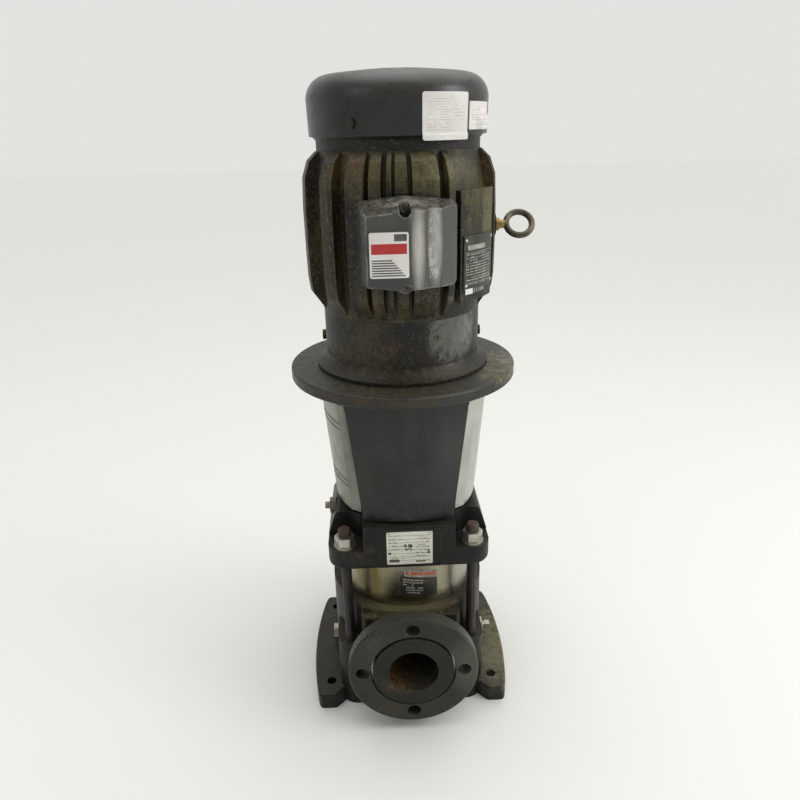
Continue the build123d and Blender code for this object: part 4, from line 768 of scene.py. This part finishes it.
def stuckPatch(mesh, place, corners, thick, lift=0.0, rounding=0.0, step=0.004, wave=0.0):
    # one closed sheet between two bottom and two top corners, in the seat's own coordinates
    lowLeft, lowRight, highLeft, highRight = (Vector((*corner, 0)) for corner in corners)
    start, end, above = (place(*corner[:2])[0] for corner in (lowLeft, lowRight, highLeft))
    width = (end - start).length
    height = (above - start).length
    columns = max(2, math.ceil(width / step))
    heights = rowHeights(height, rounding, step)
    front, back = [], []
    for high in heights:
        edge = min(high, 1 - high) * height
        inset = 0.0
        if rounding and edge < rounding:
            inset = (rounding - math.sqrt(max(rounding ** 2 - (rounding - edge) ** 2, 0))) / width
        for column in range(columns + 1):
            across = inset + (1 - 2 * inset) * column / columns
            low = lowLeft.lerp(lowRight, across)
            top = highLeft.lerp(highRight, across)
            spot, outward = place(*low.lerp(top, high)[:2])
            ripple = wave * rippleAt(across, high)
            front.append(mesh.verts.new(spot + outward * (lift + thick + ripple)))
            back.append(mesh.verts.new(spot + outward * lift))
    wide = columns + 1
    count = len(heights)
    for row in range(count - 1):
        for column in range(columns):
            a = row * wide + column
            mesh.faces.new((front[a], front[a + 1], front[a + wide + 1], front[a + wide]))
            mesh.faces.new((back[a], back[a + wide], back[a + wide + 1], back[a + 1]))
    rim = [*range(wide), *(row * wide + wide - 1 for row in range(1, count))]
    rim += [(count - 1) * wide + column for column in range(wide - 2, -1, -1)]
    rim += [row * wide for row in range(count - 2, 0, -1)]
    for here, following in zip(rim, rim[1:] + rim[:1]):
        mesh.faces.new((front[following], front[here], back[here], back[following]))


def finishPiece(name, mesh, material, smooth=False):
    bmesh.ops.recalc_face_normals(mesh, faces=mesh.faces)
    data = bpy.data.meshes.new(name)
    mesh.to_mesh(data)
    mesh.free()
    data.materials.append(material)
    if smooth:
        data.polygons.foreach_set("use_smooth", [True] * len(data.polygons))
    piece = bpy.data.objects.new(name, data)
    bpy.context.scene.collection.objects.link(piece)
    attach(piece, "pump_and_motor")


def stuckPiece(name, place, patches, material, smooth=False, **settings):
    mesh = bmesh.new()
    for corners in patches:
        stuckPatch(mesh, place, corners, **settings)
    finishPiece(name, mesh, material, smooth=smooth)


def upright(left, low, right, high):
    return ((left, low), (right, low), (left, high), (right, high))


def within(edges, margins):
    # the field that is left inside a label's edges: both are left, low, right, high
    left, low, right, high = edges
    return left + margins[0], low + margins[1], right - margins[2], high - margins[3]


dashes = {
    # shares of a row's length
    "shortest": 0.06,
    "longest": 0.22,
    "gap": 0.03,
    "tail": 0.05,             # no dash starts this near the right end
}


def printRows(left, low, right, high, rows, filled, thickness, indent=0.0):
    # short dashes in even rows, as a printed table looks from far off
    marks = []
    span = right - left
    for row in range(rows):
        middle = low + (high - low) * (row + 0.5) / rows
        at = left + span * indent * random.random()
        while at < right - dashes["tail"] * span:
            length = span * random.uniform(dashes["shortest"], dashes["longest"])
            if random.random() < filled:
                end = min(at + length, right)
                marks.append(upright(at, middle - thickness / 2, end, middle + thickness / 2))
            at += length + span * dashes["gap"]
    return marks


paperLook = {
    "dark": (0.66, 0.64, 0.61), "light": (0.80, 0.79, 0.76),
    "rough": 0.45, "grain": 60, "bump": 0.04,
    "streaks": [((0.42, 0.38, 0.30), 50, (1, 1, 1), 0.62, 0.80, 0.35)],
}
blackLabelLook = {
    "dark": (0.020, 0.019, 0.014), "light": (0.045, 0.041, 0.028),
    "rough": 0.40, "grain": 90, "bump": 0.05,
    "streaks": [((0.16, 0.13, 0.06), 60, (1, 1, 1), 0.56, 0.70, 0.6)],
}
pinkPrintLook = {
    "dark": (0.58, 0.42, 0.38), "light": (0.66, 0.52, 0.48),
    "rough": 0.5, "grain": 200, "bump": 0.0,
}
greyPrintLook = {
    "dark": (0.050, 0.050, 0.050), "light": (0.12, 0.12, 0.12),
    "rough": 0.5, "grain": 200, "bump": 0.0,
}
redPrintLook = {
    "dark": (0.40, 0.022, 0.022), "light": (0.50, 0.035, 0.032),
    "rough": 0.4, "grain": 90, "bump": 0.02,
}
palePrintLook = {
    "dark": (0.20, 0.20, 0.17), "light": (0.42, 0.42, 0.37),
    "rough": 0.45, "grain": 260, "bump": 0.0,
}
orangePrintLook = {
    "dark": (0.42, 0.085, 0.04), "light": (0.55, 0.14, 0.07),
    "rough": 0.45, "grain": 90, "bump": 0.0,
}
yellowLook = {
    "dark": (0.66, 0.55, 0.10), "light": (0.80, 0.70, 0.22),
    "rough": 0.45, "grain": 90, "bump": 0.02,
}

paper = finishMaterial("paper", paperLook)
blackLabel = finishMaterial("blackLabel", blackLabelLook)
pinkPrint = finishMaterial("pinkPrint", pinkPrintLook)
greyPrint = finishMaterial("greyPrint", greyPrintLook)
redPrint = finishMaterial("redPrint", redPrintLook)
palePrint = finishMaterial("palePrint", palePrintLook)
orangePrint = finishMaterial("orangePrint", orangePrintLook)
yellowSticker = finishMaterial("yellowSticker", yellowLook)

coverLabels = {
    "radius": 0.1078,
    "large": (-78.0, 0.7805, -46.5, 0.8285),      # left, low, right, high: degrees and metres
    "small": (-45.3, 0.7905, -19.0, 0.8195),
    "sheet": {"thick": 0.00025, "lift": 0.0001},
    "largeSheet": {"rounding": 0.0028, "wave": 0.00006},
    "smallSheet": {"rounding": 0.0012, "wave": 0.00004, "step": 0.0018, "smooth": True},
    "swell": 0.0050,          # how far the small label stands up over a screw head
    "reach": 0.017,           # and how far from the screw it starts to rise
    "steepness": 1.7,
    "sector": 30,             # degrees of the cover with no more than one screw head
    "ink": {"thick": 0.00004, "lift": 0.00042},
    "dash": 0.0006,
    "fields": [
        # label, margins, rows, share printed
        ("large", (3, 0.004, 12.5, 0.006), 15, 0.85),
        ("large", (21, 0.012, 3, 0.012), 7, 0.6),
        ("small", (3, 0.004, 5, 0.005), 8, 0.8),
    ],
}


def overScrews(seat, name, look):
    # lifts a seat over the screw heads that stand under a sheet
    groups = {}
    for vertex in nodes[name].data.vertices:
        angle = math.degrees(math.atan2(vertex.co.y, vertex.co.x))
        groups.setdefault(round(angle / look["sector"]), []).append(vertex.co)
    heads = [sum(group, Vector()) / len(group) for group in groups.values()]

    def place(angle, height):
        spot, outward = seat(angle, height)
        for head in heads:
            flat = Vector((head.x - spot.x, head.y - spot.y, 0))
            flat -= outward * flat.dot(outward)
            away = math.hypot(flat.length, head.z - height)
            if away < look["reach"] and outward.dot(head) > 0:
                share = min(1.0, (1 - away / look["reach"]) * look["steepness"])
                spot = spot + outward * look["swell"] * share * share * (3 - 2 * share)
        return spot, outward
    return place


def makeCoverLabels(look):
    seat = overScrews(roundSeat("fan_cover", look["radius"]), "fan_cover_screws", look)
    stuckPiece("cover_label_large", seat, [upright(*look["large"])], paper,
               **look["sheet"], **look["largeSheet"])
    stuckPiece("cover_label_small", seat, [upright(*look["small"])], paper,
               **look["sheet"], **look["smallSheet"])
    marks = []
    for label, margins, rows, filled in look["fields"]:
        marks += printRows(*within(look[label], margins), rows, filled, look["dash"])
    stuckPiece("cover_label_print", seat, marks, pinkPrint, **look["ink"])


makeCoverLabels(coverLabels)

boxLabel = {
    "face": 0.1815,
    "sheet": (-0.0385, 0.6500, 0.0020, 0.6965),
    "paper": {"thick": 0.00010, "lift": 0.0, "rounding": 0.0022},
    "bars": (-0.0365, 0.6520, -0.0020, 0.6700),
    "barCount": 7,
    "barShare": 0.55,
    "barStep": 0.0022,        # how much shorter each bar is than the one below it
    "block": (-0.0365, 0.6745, 0.0000, 0.6850),
    "corner": (-0.0130, 0.6875, 0.0000, 0.6945),
    "ink": {"thick": 0.00002, "lift": 0.00010},
}


def makeBoxLabel(look):
    seat = flatSeat(look["face"])
    stuckPiece("box_label", seat, [upright(*look["sheet"])], paper, **look["paper"])
    left, low, right, high = look["bars"]
    pitch = (high - low) / look["barCount"]
    bars = []
    for k in range(look["barCount"]):
        top = low + pitch * (k + look["barShare"])
        bars.append(upright(left, low + pitch * k, right - look["barStep"] * k, top))
    stuckPiece("box_label_bars", seat, bars, greyPrint, **look["ink"])
    stuckPiece("box_label_block", seat, [upright(*look["block"])], redPrint, **look["ink"])
    stuckPiece("box_label_corner", seat, [upright(*look["corner"])], greyPrint, **look["ink"])


makeBoxLabel(boxLabel)

sleeveLabel = {
    "radius": 0.0985,
    # low left, low right, high left, high right of the whole label, which sits askew
    "sheet": ((-98.0, 0.1877), (-67.1, 0.1795), (-97.5, 0.2298), (-67.1, 0.2221)),
    # the rest in shares of the label: left, low, right, high
    "black": (0, 0, 1, 0.71),
    "band": (0.10, 0.74, 1, 1),
    "marks": [(0.13, 0.79, 0.22, 0.95), (0.27, 0.81, 0.60, 0.93), (0.64, 0.81, 0.96, 0.93)],
    "table": (0.06, 0.06, 0.60, 0.66),
    "rows": 6,
    "filled": 0.75,
    "dash": 0.05,
    "thick": 0.00015,
    "rounding": 0.0015,
    "ink": {"thick": 0.00003, "lift": 0.00015},
}


def makeSleeveLabel(look):
    seat = roundSeat("outer_sleeve", look["radius"])
    lowLeft, lowRight, highLeft, highRight = (Vector((*corner, 0)) for corner in look["sheet"])

    def spot(across, up):
        bottom = lowLeft.lerp(lowRight, across)
        return tuple(bottom.lerp(highLeft.lerp(highRight, across), up)[:2])

    def part(edges):
        return tuple(spot(*corner) for corner in upright(*edges))

    thick = look["thick"]
    stuckPiece("sleeve_label", seat, [part(look["black"])], blackLabel,
               thick=thick, rounding=look["rounding"])
    stuckPiece("sleeve_label_band", seat, [part(look["band"])], palePrint, thick=thick)
    marks = [part(edges) for edges in look["marks"]]
    stuckPiece("sleeve_label_marks", seat, marks, orangePrint, **look["ink"])
    rows = printRows(*look["table"], look["rows"], look["filled"], look["dash"])
    fields = [tuple(spot(*corner) for corner in row) for row in rows]
    stuckPiece("sleeve_label_rows", seat, fields, palePrint, **look["ink"])


makeSleeveLabel(sleeveLabel)

motorPlate = {
    "radius": 0.1209,
    "edges": (-54.0, 0.6095, -28.0, 0.6700),      # left, low, right, high: degrees and metres
    "table": (1.0, 0.012, 1.5, 0.012),            # margins inside the plate
    "rows": 11,
    "filled": 0.85,
    "dash": 0.0011,
    "indent": 0.04,
    "ruleMargins": (0.6, 0.0115, 1.0, 0.011),
    "ruleCount": 7,
    "rulePitch": 0.0062,
    "rule": 0.0005,
    "columns": (0.6, 9, 17),
    "column": 0.25,
    "heading": (2, 8, 0.0085, 0.0030),            # margins left and right, depths below the top
    "tab": (0.2, 0.0008, 6.2, 0.0075),            # from the plate's low left corner
    "tabSheet": {"thick": 0.0001, "lift": 0.00003},
    "bars": (7, 0.0015, 8.2, 0.0065),             # the first of them, from the same corner
    "barCount": 5,
    "barPitch": 2.2,
    "ink": {"thick": 0.00005, "lift": 0.00002},
}


def makeMotorPlate(look):
    seat = roundSeat("motor_nameplate", look["radius"])
    left, low, right, high = look["edges"]
    table = within(look["edges"], look["table"])
    marks = printRows(*table, look["rows"], look["filled"], look["dash"], look["indent"])
    ruleLeft, ruleLow, ruleRight, ruleHigh = within(look["edges"], look["ruleMargins"])
    for k in range(look["ruleCount"]):
        height = ruleLow + k * look["rulePitch"]
        marks.append(upright(ruleLeft, height, ruleRight, height + look["rule"]))
    for at in look["columns"]:
        marks.append(upright(left + at, ruleLow, left + at + look["column"], ruleHigh))
    fromLeft, fromRight, lowDepth, highDepth = look["heading"]
    marks.append(upright(left + fromLeft, high - lowDepth, right - fromRight, high - highDepth))
    stuckPiece("motor_plate_print", seat, marks, palePrint, **look["ink"])

    def fromCorner(edges, shift=0.0):
        start, bottom, end, top = edges
        return upright(left + start + shift, low + bottom, left + end + shift, low + top)

    stuckPiece("motor_plate_tab", seat, [fromCorner(look["tab"])], paper, **look["tabSheet"])
    bars = [fromCorner(look["bars"], look["barPitch"] * k) for k in range(look["barCount"])]
    stuckPiece("motor_plate_bars", seat, bars, palePrint, **look["ink"])


makeMotorPlate(motorPlate)

edgeSticker = {
    "radius": 0.1195,
    "edges": (-26.2, 0.6190, -23.4, 0.6710),
    "sheet": {"thick": 0.0002, "lift": 0.0001},
}


def makeEdgeSticker(look):
    seat = roundSeat("motor_frame", look["radius"])
    stuckPiece("edge_sticker", seat, [upright(*look["edges"])], yellowSticker, **look["sheet"])


makeEdgeSticker(edgeSticker)

pumpPlate = {
    "margin": 0.003,
    "rows": 7,
    "dash": 0.0009,
    "leftField": (0.34, 0.004, 0.006, 0.55),      # where it ends, margins, share printed
    "rightField": (0.66, 0.008, 0.006, 0.4),      # where it starts, margins, share printed
    "rule": 0.0004,
    "ruleMargin": 0.003,
    "code": (0.36, 0.019),    # where the square code starts: share of the width, and height
    "codeCells": (6, 5),
    "codeSide": 0.0019,
    "codeFilled": 0.62,
    # chipped spots, measured from the print's low left corner and from its low right corner
    "leftChips": [
        (0, 0.0005, 0.014, 0.0050),
        (0.036, 0.0002, 0.050, 0.0022),
        (-0.001, 0.013, 0.003, 0.0165),
    ],
    "rightChips": [(-0.004, 0.013, -0.001, 0.018)],
    "ink": {"thick": 0.00005, "lift": 0.00002},
    "chipSheet": {"thick": 0.00006, "lift": 0.00002, "rounding": 0.0009},
}


def makePumpPlate(look):
    lowest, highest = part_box("pump_nameplate")
    seat = flatSeat(-lowest.y)
    plate = (lowest.x, lowest.z, highest.x, highest.z)
    left, low, right, high = within(plate, [look["margin"]] * 4)
    width = right - left
    end, below, above, filled = look["leftField"]
    marks = printRows(left, low + below, left + width * end, high - above,
                      look["rows"], filled, look["dash"])
    start, below, above, filled = look["rightField"]
    marks += printRows(left + width * start, low + below, right, high - above,
                       look["rows"], filled, look["dash"])
    step = (high - low - 2 * look["ruleMargin"]) / look["rows"]
    for k in range(look["rows"] + 1):
        height = low + look["ruleMargin"] + step * k
        marks.append(upright(left, height, right, height + look["rule"]))
    side = look["codeSide"]
    codeShare, codeLow = look["code"]
    for column in range(look["codeCells"][0]):
        for row in range(look["codeCells"][1]):
            if random.random() < look["codeFilled"]:
                x = left + width * codeShare + side * column
                z = low + codeLow + side * row
                marks.append(upright(x, z, x + side, z + side))
    stuckPiece("pump_plate_print", seat, marks, greyPrint, **look["ink"])
    chips = []
    for corner, spots in ((left, look["leftChips"]), (right, look["rightChips"])):
        for start, bottom, end, top in spots:
            chips.append(upright(corner + start, low + bottom, corner + end, low + top))
    stuckPiece("pump_plate_chips", seat, chips, blackLabel, **look["chipSheet"])


makePumpPlate(pumpPlate)
print("labels and plates printed")

# turned and pressed shapes that the plain pieces lack


def closedTube(mesh, rings):
    # joins rings of equally many points into one solid with a face at each end
    around = len(rings[0])
    for first, second in zip(rings, rings[1:]):
        for k in range(around):
            after = (k + 1) % around
            mesh.faces.new((first[k], first[after], second[after], second[k]))
    mesh.faces.new(rings[-1])
    mesh.faces.new(list(reversed(rings[0])))


threads = {
    "radius": 0.008,
    "pitch": 0.0020,
    "depth": 0.0009,
    "crest": 0.15,            # share of the depth that lies inside the stud
    "around": 40,
    "perTurn": 6,
    "fadeRows": 3,
    "intoNut": 0.001,
    "belowEnd": 0.0008,
}


def addThread(mesh, centre, low, high, look):
    # screw surface: the groove climbs one pitch in each turn
    rows = math.ceil((high - low) / look["pitch"] * look["perTurn"])
    rings = []
    for row in range(rows + 1):
        height = low + (high - low) * row / rows
        fade = min(1.0, row / look["fadeRows"], (rows - row) / look["fadeRows"])
        ring = []
        for k in range(look["around"]):
            turn = 2 * math.pi * k / look["around"]
            phase = (height / look["pitch"] - k / look["around"]) % 1.0
            groove = look["depth"] * (abs(2 * phase - 1) - look["crest"]) * fade
            reach = look["radius"] + groove
            ring.append(mesh.verts.new((
                centre[0] + reach * math.cos(turn), centre[1] + reach * math.sin(turn), height,
            )))
        rings.append(ring)
    closedTube(mesh, rings)


def makeStudThreads(look):
    lowest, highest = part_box("stay_bolts")
    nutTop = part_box("stay_nuts")[1].z
    low, high = nutTop - look["intoNut"], highest.z - look["belowEnd"]
    mesh = bmesh.new()
    for x in (lowest.x + look["radius"], highest.x - look["radius"]):
        for y in (lowest.y + look["radius"], highest.y - look["radius"]):
            addThread(mesh, (x, y), low, high, look)
    finishPiece("stud_threads", mesh, stayPaint, smooth=True)


makeStudThreads(threads)

guardBeads = {
    "heights": (0.4485, 0.4395, 0.3625, 0.3535),
    "from": 196.0,            # degrees about the shaft, front end to back end
    "to": 228.0,
    "width": 0.0022,
    "rise": 0.0009,
    "steps": 26,
    "sides": 7,
    "taperSteps": 2.5,
    "endWidth": 0.1,          # shares of the width and rise that are left at the ends
    "endRise": 0.05,
    "rayStart": 0.16,
    "rayLength": 0.12,
}


def makeGuardBeads(look):
    surface = surfaceOf("guard_left")
    mesh = bmesh.new()
    steps = look["steps"]
    for height in look["heights"]:
        rings = []
        for k in range(steps + 1):
            outward = outwardAt(look["from"] + (look["to"] - look["from"]) * k / steps)
            start = outward * look["rayStart"] + Vector((0, 0, height))
            spot, normal = surface.ray_cast(start, -outward, look["rayLength"])[:2]
            taper = min(1.0, k / look["taperSteps"], (steps - k) / look["taperSteps"])
            half = look["width"] / 2 * max(taper, look["endWidth"])
            rise = look["rise"] * max(taper, look["endRise"])
            ring = []
            for side in range(look["sides"]):
                angle = math.pi * side / (look["sides"] - 1)
                up = Vector((0, 0, math.cos(angle) * half))
                ring.append(mesh.verts.new(spot + up + normal * (math.sin(angle) * rise)))
            rings.append(ring)
        closedTube(mesh, rings)
    finishPiece("guard_beads", mesh, shadedLeftGuardSteel, smooth=True)


makeGuardBeads(guardBeads)

guardEdges = {
    "radius": 0.0011,
    "sunk": 0.5,              # how deep its centre lies in the sheet, as a share of the radius
    "out": 0.0007,            # how far the roll reaches past the sheet towards the stool wall
    "low": 0.322,
    "high": 0.474,
    "steps": 30,
    "sides": 10,
    "halvings": 14,           # of the angle between a hit and a miss
    "rayStart": 0.17,
    "rayLength": 0.11,
}


def sheetEdge(surface, start, stop, height, look):
    # the last angle, in degrees, at which a ray towards the shaft still meets the sheet
    for _ in range(look["halvings"]):
        middle = (start + stop) / 2
        outward = outwardAt(middle)
        origin = outward * look["rayStart"] + Vector((0, 0, height))
        spot = surface.ray_cast(origin, -outward, look["rayLength"])[0]
        if spot:
            start, found = middle, spot
        else:
            stop = middle
    return found, outwardAt(start + 90)


def makeGuardEdge(name, guard, start, stop, material, look):
    # start and stop: angles about the shaft, on the sheet and past its edge
    surface = surfaceOf(guard)
    mesh = bmesh.new()
    rings = []
    for step in range(look["steps"] + 1):
        height = look["low"] + (look["high"] - look["low"]) * step / look["steps"]
        spot, along = sheetEdge(surface, start, stop, height, look)
        along = along if stop > start else -along
        outward = Vector((spot.x, spot.y, 0)).normalized()
        centre = spot + along * look["out"] - outward * look["radius"] * look["sunk"]
        ring = []
        for side in range(look["sides"]):
            angle = 2 * math.pi * side / look["sides"]
            reach = (outward * math.cos(angle) + along * math.sin(angle)) * look["radius"]
            ring.append(mesh.verts.new(centre + reach))
        rings.append(ring)
    closedTube(mesh, rings)
    finishPiece(name, mesh, material, smooth=True)


makeGuardEdge("guard_left_edge", "guard_left", 205, 250, shadedLeftGuardSteel, guardEdges)
makeGuardEdge("guard_right_edge", "guard_right", 335, 290, guardSteel, guardEdges)
print("threads, beads and guard edges made")
